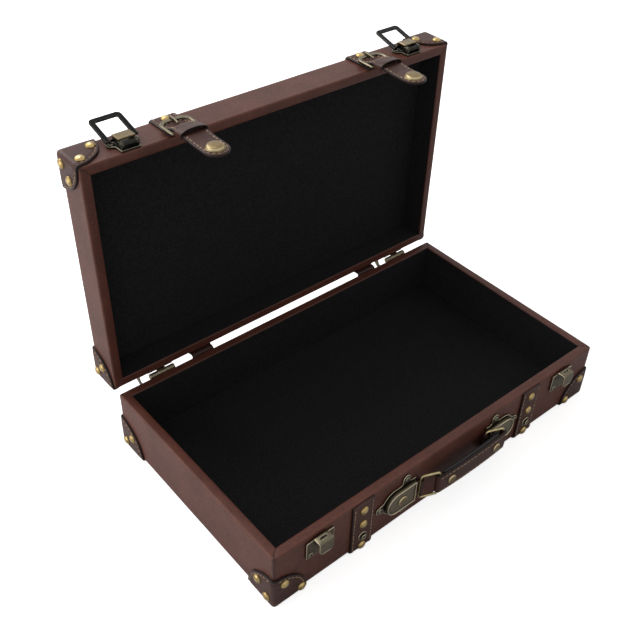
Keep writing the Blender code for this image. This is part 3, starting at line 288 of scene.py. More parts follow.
def make_wear_and_highlight() -> bpy.types.NodeTree:
    """Edges: a mask that is strong where two faces meet, broken up by noise. It stands for worn edges and also paints
    highlights along them.

    Returns:
        The node group.
    """
    tree = new_group(Effect.WEAR_AND_HIGHLIGHT, {"Radius": 0.0006}, ("Mask",))
    radius = tree.tree.nodes["in"].outputs["Radius"]
    place = tree.add("TexCoord").outputs["Object"]
    rounded = tree.add("Bevel", {"Radius": radius}, samples=4).outputs[0]
    plain = tree.add("NewGeometry").outputs["Normal"]
    meet = tree.add("VectorMath", {0: rounded, 1: plain}, operation="DOT_PRODUCT").outputs["Value"]
    edge = tree.steps(tree.math("SUBTRACT", 1.0, meet), 0.01, 0.16)
    breaks = tree.add("TexNoise", {"Vector": place, "Scale": 500.0, "Detail": 3.0}).outputs[0]
    return give(tree, {"Mask": tree.math("MULTIPLY", edge, tree.steps(breaks, 0.25, 0.6))})


def make_patina() -> bpy.types.NodeTree:
    """Tarnish on metal: a blotchy mask and a finer one.

    Returns:
        The node group.
    """
    tree = new_group(Effect.PATINA, {"Scale": 160.0}, ("Mask", "Fine"))
    place = tree.add("TexCoord").outputs["Object"]
    scale = tree.tree.nodes["in"].outputs["Scale"]
    broad = tree.add("TexNoise", {"Vector": place, "Scale": scale, "Detail": 4.0, "Roughness": 0.65}).outputs[0]
    fine = tree.add("TexNoise", {"Vector": place, "Scale": tree.math("MULTIPLY", scale, 7.0), "Detail": 3.0}).outputs[0]
    return give(tree, {"Mask": tree.steps(broad, 0.38, 0.66), "Fine": fine})


def make_specks() -> bpy.types.NodeTree:
    """Small pale scuffs and dust, gathered in patches.

    Returns:
        The node group.
    """
    tree = new_group(Effect.SPECKS, {"Scale": 420.0}, ("Mask",))
    place = tree.add("TexCoord").outputs["Object"]
    scale = tree.tree.nodes["in"].outputs["Scale"]
    cells = tree.add("TexVoronoi", {"Vector": place, "Scale": scale}).outputs["Distance"]
    patch = tree.add("TexNoise", {"Vector": place, "Scale": 45.0, "Detail": 2.0}).outputs[0]
    dots = tree.math("SUBTRACT", 1.0, tree.steps(cells, 0.05, 0.13))
    return give(tree, {"Mask": tree.math("MULTIPLY", dots, tree.steps(patch, 0.56, 0.66))})


EFFECT_MAKERS = {
    Effect.GRAIN: make_grain,
    Effect.WEAVE: make_weave,
    Effect.WEAR_AND_HIGHLIGHT: make_wear_and_highlight,
    Effect.PATINA: make_patina,
    Effect.SPECKS: make_specks,
}


# Finishes


class Finish:
    """A material that is made once and then shared."""

    name: str

    def material(self) -> bpy.types.Material:
        """Gives the material, and makes it the first time.

        Returns:
            The material.
        """
        found = bpy.data.materials.get(self.name)
        if found:
            return found
        made = bpy.data.materials.new(self.name)
        made.use_nodes = True
        tree = Tree(made.node_tree)
        self.dress(tree, made.node_tree.nodes["Principled BSDF"])
        return made

    def dress(self, tree: Tree, shader: bpy.types.Node) -> None:
        """Joins the finish's nodes to the shader."""
        raise NotImplementedError


def join(tree: Tree, shader: bpy.types.Node, **sockets: object) -> None:
    """Joins sockets or values to a shader's inputs, whose names have spaces for underscores.

    Args:
        tree: The material's tree.
        shader: Its shader.
        sockets: The sockets or values, by input.
    """
    for name, value in sockets.items():
        target = shader.inputs[name.replace("_", " ")]
        if isinstance(value, bpy.types.NodeSocket):
            tree.tree.links.new(value, target)
        else:
            target.default_value = (*value, 1.0) if isinstance(value, tuple) and len(value) == 3 else value


def bump(tree: Tree, height: bpy.types.NodeSocket, depth: float, strength: float = 1.0) -> bpy.types.NodeSocket:
    """Turns a height from about 0 to 1 into the normal of a relief, whose depth is in metres."""
    return tree.add("Bump", {"Height": height, "Distance": depth, "Strength": strength}).outputs[0]


@dataclass(frozen=True)
class Leather(Finish):
    """Dyed leather with a pebbled grain, darker at its cut edges, and paler where it is worn and where a highlight is
    painted along its bends.
    """

    name: str
    deep: Colour
    light: Colour
    edge: Colour
    rubbed_and_highlight: Colour
    roughness: float = 0.45
    grain: float = 1300.0
    relief: float = 0.00012
    specks: float = 0.0
    shine: float = 0.4

    def dress(self, tree: Tree, shader: bpy.types.Node) -> None:
        """Joins grain, cloudy tone, dark edges, and paler bends that are partly worn and partly a painted highlight, to
        the shader.

        Args:
            tree: The material's tree.
            shader: Its Principled shader.
        """
        grain = tree.effect(Effect.GRAIN, {"Scale": self.grain}).outputs
        colour = tree.mix(grain["Cloud"], self.deep, self.light)
        fine = tree.steps(grain["Crease"], 0.35, 0.65)
        colour = tree.mix(tree.scale(fine, 0.0, 0.25), colour, self.edge)
        # Paler where the mesh is marked: worn leather, and a painted highlight along the cover's bends.
        rub_and_highlight = tree.math("MULTIPLY", tree.attribute("rub_and_highlight"), tree.scale(grain["Cloud"], 0.55, 1.0))
        colour = tree.mix(rub_and_highlight, colour, self.rubbed_and_highlight)
        colour = tree.mix(tree.attribute("dark"), colour, self.edge)
        if self.specks:
            specks = tree.effect(Effect.SPECKS, {"Scale": 520.0}).outputs[0]
            colour = tree.mix(tree.math("MULTIPLY", specks, self.specks), colour, (0.5, 0.46, 0.42))
        rough = tree.scale(grain["Crease"], self.roughness - 0.08, self.roughness + 0.12)
        normal = bump(tree, grain["Height"], self.relief, 0.6)
        join(tree, shader, Base_Color=colour, Roughness=rough, Normal=normal, IOR=1.46, Specular_IOR_Level=self.shine)


@dataclass(frozen=True)
class Cloth(Finish):
    """Woven black lining."""

    name: str
    deep: Colour
    light: Colour
    pitch: float = 0.0007
    relief: float = 0.00008

    def dress(self, tree: Tree, shader: bpy.types.Node) -> None:
        """Joins the weave and a little lint to the shader.

        Args:
            tree: The material's tree.
            shader: Its Principled shader.
        """
        weave = tree.effect(Effect.WEAVE, {"Pitch": self.pitch}).outputs
        lint = tree.effect(Effect.SPECKS, {"Scale": 300.0}).outputs[0]
        colour = tree.mix(tree.steps(weave["Slub"], 0.35, 0.7), self.deep, self.light)
        colour = tree.mix(tree.math("MULTIPLY", lint, 0.08), colour, (0.15, 0.15, 0.15))
        colour = tree.mix(tree.math("MULTIPLY", tree.attribute("rub_and_highlight"), 0.5), colour, (0.018, 0.018, 0.018))
        normal = bump(tree, weave["Height"], self.relief, 0.8)
        join(tree, shader, Base_Color=colour, Roughness=0.95, Normal=normal)
        join(tree, shader, Sheen_Weight=0.035, Sheen_Roughness=0.6, Specular_IOR_Level=0.06)


@dataclass(frozen=True)
class Metal(Finish):
    """Plated metal with tarnish in its hollows, bright edges that are partly worn and partly a painted highlight, and
    painted shade where it is marked dark.
    """

    name: str
    plate: Colour
    tarnish: Colour
    bright: Colour
    roughness: float = 0.35
    wear_and_highlight: float = 0.8
    blotch: float = 160.0
    edge_mask_radius: float = 0.0006

    def dress(self, tree: Tree, shader: bpy.types.Node) -> None:
        """Joins tarnish, bright edges that are partly worn and partly a painted highlight, painted shade and fine marks
        to the shader.

        Args:
            tree: The material's tree.
            shader: Its Principled shader.
        """
        patina = tree.effect(Effect.PATINA, {"Scale": self.blotch}).outputs
        wear_and_highlight = tree.effect(Effect.WEAR_AND_HIGHLIGHT, {"Radius": self.edge_mask_radius}).outputs[0]
        colour = tree.mix(tree.math("MULTIPLY", patina["Mask"], 0.6), self.plate, self.tarnish)
        speckle = tree.steps(patina["Fine"], 0.42, 0.68)
        colour = tree.mix(tree.math("MULTIPLY", speckle, 0.35), colour, self.tarnish)
        # Bright along edges and marked places: partly worn metal, partly a painted highlight.
        colour = tree.mix(tree.math("MULTIPLY", wear_and_highlight, self.wear_and_highlight), colour, self.bright)
        colour = tree.mix(tree.attribute("rub_and_highlight"), colour, self.bright)
        # Painted shade: near black where the mesh is marked dark, on undersides, sides, slots and hollows.
        colour = tree.mix(tree.attribute("dark"), colour, tuple(value * 0.15 for value in self.tarnish))
        rough = tree.math("MULTIPLY_ADD", patina["Fine"], 0.18, self.roughness - 0.06)
        rough = tree.math("MULTIPLY_ADD", patina["Mask"], 0.1, rough)
        normal = bump(tree, patina["Fine"], 0.00004, 0.5)
        join(tree, shader, Base_Color=colour, Roughness=rough, Normal=normal, Metallic=1.0)


@dataclass(frozen=True)
class Thread(Finish):
    """Waxed sewing thread, with a fine twist."""

    name: str
    pale: Colour
    soiled: Colour

    def dress(self, tree: Tree, shader: bpy.types.Node) -> None:
        """Joins the twist and soiling to the shader.

        Args:
            tree: The material's tree.
            shader: Its Principled shader.
        """
        patina = tree.effect(Effect.PATINA, {"Scale": 220.0}).outputs
        colour = tree.mix(patina["Mask"], self.pale, self.soiled)
        normal = bump(tree, patina["Fine"], 0.0001, 0.7)
        join(tree, shader, Base_Color=colour, Roughness=0.75, Normal=normal)


@dataclass(frozen=True)
class Board(Finish):
    """Pressed board with long fibres."""

    name: str
    deep: Colour
    light: Colour
    stretch: float = 12.0

    def dress(self, tree: Tree, shader: bpy.types.Node) -> None:
        """Joins the fibres to the shader.

        Args:
            tree: The material's tree.
            shader: Its Principled shader.
        """
        place = tree.add("TexCoord").outputs["Object"]
        long = tree.add("Mapping", {"Vector": place, "Scale": (30.0, 30.0 * self.stretch, 30.0 * self.stretch)})
        fibre = tree.add("TexNoise", {"Vector": long.outputs[0], "Scale": 1.0, "Detail": 6.0}).outputs[0]
        colour = tree.mix(tree.steps(fibre, 0.3, 0.7), self.deep, self.light)
        join(tree, shader, Base_Color=colour, Roughness=tree.scale(fibre, 0.7, 0.9))
        join(tree, shader, Normal=bump(tree, fibre, 0.0002, 0.6))


COVER = Leather(
    "cover_leather_finish",
    deep=(0.098, 0.029, 0.0185),
    light=(0.13, 0.041, 0.0265),
    edge=(0.016, 0.006, 0.005),
    rubbed_and_highlight=(0.2, 0.075, 0.05),
    roughness=0.44,
    specks=0.5,
    shine=0.33,
)
TRIM_LEATHER = Leather(
    "trim_leather_finish",
    deep=(0.054, 0.019, 0.0135),
    light=(0.086, 0.032, 0.023),
    edge=(0.008, 0.0045, 0.004),
    rubbed_and_highlight=(0.14, 0.075, 0.055),
    roughness=0.4,
    grain=1500.0,
    relief=0.0001,
    shine=0.26,
)
PADDING = Leather(
    "black_padding_finish",
    deep=(0.007, 0.007, 0.007),
    light=(0.012, 0.012, 0.012),
    edge=(0.004, 0.004, 0.004),
    rubbed_and_highlight=(0.03, 0.03, 0.03),
    roughness=0.5,
    grain=1700.0,
)
LINING = Cloth("lining_finish", deep=(0.0105, 0.0105, 0.0106), light=(0.0212, 0.0210, 0.0211))
GOLD = Metal(
    "gold_brass_finish", plate=(0.55, 0.4, 0.17), tarnish=(0.22, 0.14, 0.055),
    bright=(0.95, 0.82, 0.52), roughness=0.22, wear_and_highlight=0.4, blotch=320.0,
)
PALE = Metal(
    "pale_brass_finish", plate=(0.5, 0.42, 0.23), tarnish=(0.26, 0.2, 0.1),
    bright=(0.85, 0.78, 0.55), roughness=0.26, wear_and_highlight=0.5, blotch=400.0,
)
BRONZE = Metal(
    "bronze_finish", plate=(0.27, 0.2, 0.1), tarnish=(0.13, 0.092, 0.046),
    bright=(0.62, 0.52, 0.32), roughness=0.3, wear_and_highlight=0.5, blotch=500.0,
)
AGED = Metal(
    "aged_brass_finish", plate=(0.175, 0.147, 0.1), tarnish=(0.06, 0.05, 0.035),
    bright=(0.75, 0.67, 0.47), roughness=0.3, wear_and_highlight=0.95, blotch=1000.0, edge_mask_radius=0.0008,
)
DARK = Metal(
    "dark_metal_finish", plate=(0.03, 0.03, 0.025), tarnish=(0.012, 0.012, 0.01),
    bright=(0.42, 0.38, 0.28), roughness=0.32, wear_and_highlight=0.75, blotch=620.0, edge_mask_radius=0.0007,
)
# The bright colour and the strong edge mask paint highlights along the bail's bevelled edges, with some wear.
BLACK = Metal(
    "black_metal_finish", plate=(0.012, 0.012, 0.012), tarnish=(0.005, 0.005, 0.005),
    bright=(0.27, 0.25, 0.2), roughness=0.24, wear_and_highlight=0.6, blotch=400.0, edge_mask_radius=0.0005,
)
THREAD = Thread("thread_finish", (0.5, 0.36, 0.24), (0.27, 0.17, 0.11))
SHEET = Board("leatherboard_finish", (0.03, 0.018, 0.013), (0.06, 0.036, 0.026), 3.0)
PLY = Board("board_finish", (0.32, 0.22, 0.13), (0.5, 0.37, 0.23))


# Mesh building


class Shape:
    """Points, faces and painted values that become one mesh."""

    def __init__(self, place: Matrix = AS_DRAWN) -> None:
        """Starts an empty shape.

        Args:
            place: The matrix that carries what is drawn to its place in the row frame.
        """
        self.place = place
        self.points: list[Vector] = []
        self.faces: list[tuple[int, ...]] = []
        self.marks: list[tuple[float, float]] = []

    def loft(
        self,
        rows: Sequence[Sequence[Vector]],
        marks: Sequence[Sequence[tuple[float, float]]] | None = None,
        closed: bool = False,
        place: Matrix = AS_DRAWN,
    ) -> None:
        """Joins loops of points, each with as many points, and caps the first and the last.

        Args:
            rows: The loops.
            marks: The darkening and lightening values of the points, or None for none.
            closed: Whether the last loop joins the first, in place of caps.
            place: A further matrix for these loops.
        """
        start = len(self.points)
        count = len(rows[0])
        whole = self.place @ place
        for index, row in enumerate(rows):
            self.points += [whole @ point for point in row]
            self.marks += marks[index] if marks else [(0.0, 0.0)] * count
        total = len(rows)
        for index in range(total if closed else total - 1):
            low = start + index * count
            high = start + (index + 1) % total * count
            for step in range(count):
                after = (step + 1) % count
                self.faces.append((low + step, low + after, high + after, high + step))
        if not closed:
            self.faces.append(tuple(range(start, start + count)))
            self.faces.append(tuple(range(start + (total - 1) * count, start + total * count)))

    def lathe(self, profile: Sequence[tuple[float, ...]], place: Matrix, steps: int = 20) -> None:
        """Turns a profile about the place's third axis.

        Args:
            profile: Radii and heights from the top to the underside, some with darkening and lightening values.
            place: Where its middle stands.
            steps: How many points go round.
        """
        angles = [2 * math.pi * index / steps for index in range(steps)]
        rows = [[Vector((row[0] * math.cos(a), row[0] * math.sin(a), row[1])) for a in angles] for row in profile]
        self.loft(rows, [[tuple(row[2:]) or (0.0, 0.0)] * steps for row in profile], place=place)

    def tiers(self, outline: Outline, tiers: Sequence[tuple[float, ...]], place: Matrix = AS_DRAWN) -> None:
        """Stacks a plate from insets of an outline and their heights, some with darkening and lightening values."""
        rows = [[Vector((p.x, p.y, tier[1])) for p in inset(outline, tier[0])] for tier in tiers]
        self.loft(rows, [[tuple(tier[2:]) or (0.0, 0.0)] * len(outline) for tier in tiers], place=place)

    def plate(self, outline: Outline, low: float, high: float, bevel: float = 0.0003, place: Matrix = AS_DRAWN) -> None:
        """A plate between two heights, with both its edges eased."""
        tiers = [(bevel, low), (0, low + bevel), (0, high - bevel), (bevel * 0.35, high - bevel * 0.3), (bevel, high)]
        self.tiers(outline, tiers, place)

    def worn_and_shaded_plate(self, outline: Outline, low: float, high: float, place: Matrix = AS_DRAWN) -> None:
        """A flat fitting with a bright border that is partly worn and partly a painted highlight, a face darkened with
        painted shade, and sides of painted shade.

        Args:
            outline: The fitting's outline.
            low: The height of its underside.
            high: The height of its face.
            place: A further matrix for the fitting.
        """
        tiers = [(0.0003, low, 1, 0), (0, low + 0.0003, 0.9, 0), (0, high - 0.0003, 0.4, 0.2)]
        tiers += [(0.0001, high - 0.0001, 0, 0.8), (0.0004, high, 0, 0.6), (0.0009, high, 0.3, 0)]
        self.tiers(outline, tiers, place)

    def frame_plate(self, outer: Outline, inner: Outline, low: float, high: float, bevel: float) -> None:
        """A flat frame between two outlines with as many points.

        Args:
            outer: The outer outline.
            inner: The inner outline.
            low: The height of its underside.
            high: The height of its face.
            bevel: How far its edges are eased.
        """
        rows = []
        for outline, way in ((outer, 1), (inner, -1)):
            loops = [(bevel, low), (0, low + bevel), (0, high - bevel), (bevel, high)]
            made = [[Vector((p.x, p.y, height)) for p in inset(outline, way * reach)] for reach, height in loops]
            rows += made if way > 0 else made[::-1]
        self.loft(rows, closed=True)

    def tube(self, line: Sequence[Vector], radius: float, flat: Vector, closed: bool = False, steps: int = 10) -> None:
        """A round wire along a line that lies in a plane.

        Args:
            line: The points of its middle line.
            radius: The wire's radius.
            flat: The direction square to the plane.
            closed: Whether the wire is a ring.
            steps: How many points go round the wire.
        """
        rows = []
        count = len(line)
        for index, point in enumerate(line):
            before = line[index - 1] if closed or index else point
            after = line[(index + 1) % count] if closed or index < count - 1 else point
            across = (after - before).normalized().cross(flat)
            angles = [2 * math.pi * step / steps for step in range(steps)]
            rows.append([point + radius * (math.cos(a) * across + math.sin(a) * flat) for a in angles])
        self.loft(rows, closed=closed)

    def build(
        self, name: str, finish: Finish, body: str, slot: str | None, replaces: Sequence[str] = ()
    ) -> bpy.types.Object:
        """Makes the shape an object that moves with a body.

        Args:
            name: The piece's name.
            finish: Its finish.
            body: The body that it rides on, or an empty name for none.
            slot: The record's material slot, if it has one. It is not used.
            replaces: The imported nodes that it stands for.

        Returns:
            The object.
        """
        mesh = bpy.data.meshes.new(name)
        mesh.from_pydata([tuple(point) for point in self.points], [], self.faces)
        # The first painted value darkens: dyed edges on leather, painted shade on metal. The second lightens: worn
        # places, and also painted highlights.
        for index, label in enumerate(("dark", "rub_and_highlight")):
            attribute = mesh.attributes.new(label, "FLOAT", "POINT")
            attribute.data.foreach_set("value", [mark[index] for mark in self.marks])
        work = bmesh.new()
        work.from_mesh(mesh)
        bmesh.ops.remove_doubles(work, verts=work.verts, dist=0.000001)
        bmesh.ops.recalc_face_normals(work, faces=work.faces)
        work.to_mesh(mesh)
        work.free()
        mesh.shade_smooth()
        mesh.set_sharp_from_angle(angle=math.radians(42))
        mesh.materials.append(finish.material())
        piece = bpy.data.objects.new(name, mesh)
        bpy.context.scene.collection.objects.link(piece)
        if body:
            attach(piece, body)
        if replaces:
            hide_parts(*replaces)
        return piece

    def build_metal(self, node: str, finish: Finish, body: str, slot: str) -> None:
        """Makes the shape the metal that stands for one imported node."""
        self.build(f"{node}_metal", finish, body, slot, [node])


def build_sewn(node: str, body: str, leather: Shape, thread: Shape) -> None:
    """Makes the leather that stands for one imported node, and the thread that it is sewn with."""
    leather.build(f"{node}_leather", TRIM_LEATHER, body, "trim_leather", [node])
    thread.build(f"{node}_thread", THREAD, body, None)


def inset(outline: Outline, reach: float) -> Outline:
    """Moves an outline inwards by the same distance everywhere.

    Args:
        outline: Points in order, either way round.
        reach: The distance, which is negative for outwards.

    Returns:
        The moved points.
    """
    if not reach:
        return outline
    count = len(outline)
    area = sum(outline[i - 1].x * outline[i].y - outline[i].x * outline[i - 1].y for i in range(count))
    way = math.copysign(1, area)
    moved = []
    for index, point in enumerate(outline):
        first = point - outline[index - 1]
        second = outline[(index + 1) % count] - point
        normals = [Vector((-edge.y, edge.x)).normalized() for edge in (first, second) if edge.length > 1e-7]
        middle = sum(normals, Vector((0, 0))).normalized()
        lean = max(0.5, middle.dot(normals[0]))
        moved.append(Vector((point.x, point.y)) + middle * (way * reach / lean))
    return moved


def arc(middle: tuple[float, float], radius: float, start: float, end: float, steps: int) -> Outline:
    """Points on an arc between two angles in degrees."""
    turns = [math.radians(start + (end - start) * index / steps) for index in range(steps + 1)]
    return [Vector((middle[0] + radius * math.cos(a), middle[1] + radius * math.sin(a))) for a in turns]


def box_outline(half: float, low: float, high: float, low_radius: float, high_radius: float, steps: int = 5) -> Outline:
    """An upright rectangle about x = 0 with rounded corners.

    Args:
        half: Half its width.
        low: Its lower edge.
        high: Its upper edge.
        low_radius: The radius of its two lower corners.
        high_radius: The radius of its two upper corners.
        steps: How many steps make a corner.

    Returns:
        Its points.
    """
    points = arc((half - high_radius, high - high_radius), high_radius, 0, 90, steps)
    points += arc((high_radius - half, high - high_radius), high_radius, 90, 180, steps)
    points += arc((low_radius - half, low + low_radius), low_radius, 180, 270, steps)
    return points + arc((half - low_radius, low + low_radius), low_radius, 270, 360, steps)


def rim_loop(half_x: float, half_y: float, radius: float) -> tuple[Outline, list[float]]:
    """A rounded rectangle round the case, with points close to its corners and along its sides.

    Args:
        half_x: Half its length.
        half_y: Half its width.
        radius: The radius of its corners.

    Returns:
        Its points, and for each how near it is to the middle of a corner, from 0 to 1.
    """
    points, nearness = [], []
    ends = [Vector((half_x, half_y)), Vector((-half_x, half_y)), Vector((-half_x, -half_y)), Vector((half_x, -half_y))]
    for index, corner in enumerate(ends):
        middle = Vector((math.copysign(half_x - radius, corner.x), math.copysign(half_y - radius, corner.y)))
        points += arc(middle, radius, 90 * index, 90 * index + 90, 4)
        nearness += [0.35, 0.85, 1.0, 0.85, 0.35]
        start = points[-1]
        following = ends[(index + 1) % 4]
        along = (following - corner).normalized()
        length = (following - corner).length - 2 * radius
        count = 24 if index % 2 == 0 else 14
        for step in range(count + 1):
            reach = 0.002 + (length - 0.004) * step / count
            points.append(start + along * reach)
            nearness.append(0.0)
    return points, nearness


def waver(point: Vector, size: float, depth: float) -> float:
    """Smooth unevenness between minus and plus a depth, in waves of a size."""
    return depth * noise.noise(point / size)


# Profiles of heads: shares of the radius and of the height, then darkening and lightening values. The darkening paints
# shade round the lower edge, and the lightening paints a highlight on the dome's crown and the disc's shoulder.
DOME = [(0.02, 1.0, 0.0, 0.3), (0.3, 0.95, 0.0, 0.25), (0.55, 0.82, 0.0, 0.0), (0.76, 0.62, 0.0, 0.0)]
DOME += [(0.9, 0.38, 0.15, 0.0), (0.98, 0.14, 0.7, 0.0), (1.0, 0.0, 1.0, 0.0), (0.98, -0.12, 1.0, 0.0)]
DISC = [(0.02, 1.0, 0.0, 0.0), (0.55, 0.98, 0.0, 0.0), (0.78, 0.92, 0.0, 0.1), (0.9, 0.75, 0.0, 0.8)]
DISC += [(0.97, 0.45, 0.1, 0.3), (1.0, 0.1, 0.9, 0.0), (1.0, -0.15, 1.0, 0.0)]


def headed(shares: Sequence[tuple[float, ...]], radius: float, height: float) -> list[tuple[float, ...]]:
    """The profile of a nail or a rivet from its shares of a radius and a height."""
    return [(radius * share, height * level, dark, rub_and_highlight) for share, level, dark, rub_and_highlight in shares]


def add_nail(shape: Shape, place: Matrix) -> None:
    """A domed nail, with the middle of its underside at a place."""
    shape.lathe(headed(DOME, NAIL_RADIUS, NAIL_HEIGHT), place)


def add_screw(shape: Shape, place: Matrix, radius: float = 0.00275, height: float = 0.0010) -> None:
    """A low screw head with a crossed slot, turned at random.

    Args:
        shape: The shape that it is added to.
        place: Where its underside's middle stands.
        radius: The head's radius.
        height: The head's height.
    """
    steps = 32
    spin = CHANCE.uniform(0, math.pi / 2)
    # Painted shade in the slot, on the face and round the lower edge; a painted highlight on the ring between them.
    rings = [(0.04, 1.0, 0.3, 0.0), (0.2, 1.0, 0.3, 0.0), (0.42, 0.97, 0.3, 0.0), (0.5, 0.95, 0.2, 0.0)]
    rings += [(0.62, 0.9, 0.0, 0.5), (0.85, 0.66, 0.0, 0.8), (1.0, 0.2, 0.6, 0.0), (1.0, -0.3, 1.0, 0.0)]
    rows, marks = [], []
    for share, level, dark, rub_and_highlight in rings:
        reach = share * radius
        row, mark = [], []
        for step in range(steps):
            angle = 2 * math.pi * step / steps
            near = abs((angle + math.pi / 4) % (math.pi / 2) - math.pi / 4) * reach
            slotted = share < 0.56 and near < 0.0004
            up = (level - 0.6 * slotted) * height
            row.append(Vector((reach * math.cos(angle + spin), reach * math.sin(angle + spin), up)))
            mark.append((1.0 if slotted else dark, rub_and_highlight))
        rows.append(row)
        marks.append(mark)
    shape.loft(rows, marks, place=place)


# Leather work


class Track:
    """A line that a strip follows, with the direction across the strip."""

    def __init__(self, points: Sequence[Vector], across: Vector) -> None:
        """Keeps the line and measures it.

        Args:
            points: The line's points.
            across: The direction across the strip. The strip's outer side faces the tangent crossed with it.
        """
        self.points = [points[0]]
        self.points += [after for before, after in zip(points, points[1:]) if (after - before).length > 1e-7]
        self.across = across
        self.marks = [0.0]
        for first, second in zip(self.points, self.points[1:]):
            self.marks.append(self.marks[-1] + (second - first).length)
        self.length = self.marks[-1]

    def tangent(self, index: int) -> Vector:
        """The line's direction at one of its points."""
        low, high = max(index - 1, 0), min(index + 1, len(self.points) - 1)
        return (self.points[high] - self.points[low]).normalized()

    def at(self, along: float) -> Spot:
        """Finds a place on the line.

        Args:
            along: The distance along the line.

        Returns:
            The point and the outward direction.
        """
        along = min(max(along, 0.0), self.length)
        index = max(i for i, mark in enumerate(self.marks[:-1]) if mark <= along)
        share = (along - self.marks[index]) / (self.marks[index + 1] - self.marks[index])
        tangent = self.tangent(index).lerp(self.tangent(index + 1), share).normalized()
        return self.points[index].lerp(self.points[index + 1], share), tangent.cross(self.across)

    def spot(self, along: float, aside: float, lift: float) -> Spot:
        """The point and the outward direction at a place on the strip."""
        point, outward = self.at(along)
        return point + self.across * aside + outward * lift, outward


@dataclass
class Strip:
    """A flat strip of leather along a track, with rounded edges and sewn grooves."""

    track: Track
    half: float
    thickness: float
    round_end: bool = False
    groove: float = 0.0023
    groove_depth: float = 0.00022
    crown: float = 0.00018
    pitch: float = 0.0028

    def before_end(self, along: float) -> float:
        """How far a place lies before the round end, or half the strip's width if the end is square."""
        return self.track.length - along if self.round_end else self.half

    def width_at(self, along: float) -> float:
        """Gives half the strip's width.

        Args:
            along: The distance along the strip.

        Returns:
            Half the width there, which shrinks towards a round end.
        """
        reach = self.before_end(along)
        if reach >= self.half:
            return self.half
        return math.sqrt(max(self.half**2 - (self.half - reach) ** 2, 1e-9))

    def depth_in(self, along: float, aside: float) -> float:
        """How far a place lies inside the strip's edge.

        Args:
            along: The distance along the strip.
            aside: The distance from its middle line.

        Returns:
            The distance to the nearest side or round end.
        """
        reach = self.before_end(along)
        if reach >= self.half:
            return self.half - abs(aside)
        return self.half - math.hypot(aside, self.half - reach)

    def stations(self) -> list[float]:
        """Chooses where along the strip its points lie.

        Returns:
            The distances in order, closer together towards a round end.
        """
        marks = list(self.track.marks)
        count = max(2, round(self.track.length / self.pitch))
        marks += [self.track.length * index / count for index in range(count + 1)]
        if self.round_end:
            limit = self.track.length
            ease = [self.half * (1 - math.cos(math.radians(angle))) for angle in range(4, 95, 5)]
            marks = [mark for mark in marks if mark < limit - self.half] + [limit - reach for reach in ease]
        marks.sort()
        return [mark for index, mark in enumerate(marks) if not index or mark - marks[index - 1] > 1e-5]

    def add(self, shape: Shape) -> None:
        """Adds the strip to a shape.

        Args:
            shape: The shape.
        """
        insets = [0.0, 0.00035, 0.0009, self.groove - 0.0005, self.groove, self.groove + 0.0005, self.groove + 0.0018]
        shares = [1 - reach / self.half for reach in insets] + [0.3, 0.0]
        shares = shares + [-share for share in shares[-2::-1]]
        rows, marks = [], []
        for along in self.stations():
            half = self.width_at(along)
            row, mark = [], []
            for share in shares:
                aside = half * share
                deep = max(self.depth_in(along, aside), 0.0)
                ease = 0.0005 * max(0.0, 1 - deep / 0.0009) ** 2
                sewn = self.groove_depth * math.exp(-(((deep - self.groove) / 0.0004) ** 2))
                swell = self.crown * min(1.0, max(0.0, deep - self.groove) / (self.half * 0.6))
                row.append(self.track.spot(along, aside, self.thickness / 2 - ease - sewn + swell)[0])
                mark.append((1.0 if deep < 0.0005 else 0.3 if deep < 0.001 else 0.0, 0.0))
            for share in (-1.0, 0.0, 1.0):
                row.append(self.track.spot(along, half * share, -self.thickness / 2)[0])
                mark.append((0.55, 0.0))
            rows.append(row)
            marks.append(mark)
        shape.loft(rows, marks)

    def seam(self, start: float, end: float) -> list[tuple[float, float]]:
        """The sewn line along one side, round the round end and back along the other side.

        Args:
            start: How far along the strip the line starts.
            end: How far along the strip it ends.

        Returns:
            Its places, by distances along and aside.
        """
        aside = self.half - self.groove
        middle = self.track.length - self.half
        turns = [math.radians(angle) for angle in range(0, 181, 6)]
        line = [(start, aside)]
        line += [(middle + aside * math.sin(a), aside * math.cos(a)) for a in turns]
        return line + [(end, -aside)]

    def sew(self, shape: Shape, line: Sequence[tuple[float, float]]) -> None:
        """Sews along a line of places on the strip."""
        lift = self.thickness / 2 - self.groove_depth
        add_stitches(shape, [self.track.spot(along, aside, lift) for along, aside in dense(line)])

    def sew_sides(self, shape: Shape, start: float, end: float) -> None:
        """Sews along both sides.

        Args:
            shape: The shape that the stitches are added to.
            start: How far along the strip they start.
            end: How far along the strip they end.
        """
        for way in (-1, 1):
            aside = way * (self.half - self.groove)
            self.sew(shape, [(start, aside), (end, aside)])


def dense(line: Sequence[tuple[float, float]], step: float = 0.0006) -> list[tuple[float, float]]:
    """Fills a line in with points at short steps.

    Args:
        line: The line's places.
        step: The largest distance between two points.

    Returns:
        The line with the new points.
    """
    points = []
    for first, second in zip(line, line[1:]):
        count = max(1, round(math.dist(first, second) / step))
        points += [tuple(a + (b - a) * i / count for a, b in zip(first, second)) for i in range(count)]
    return points + [line[-1]]


# The rings of a stitch: shares of its length and of its radius, and how far each is lifted
STITCH_RINGS = (
    (-0.5, 0.35, -0.00024),
    (-0.4, 0.85, -0.00006),
    (0.0, 1.0, 0.00004),
    (0.4, 0.85, -0.00006),
    (0.5, 0.35, -0.00024),
)


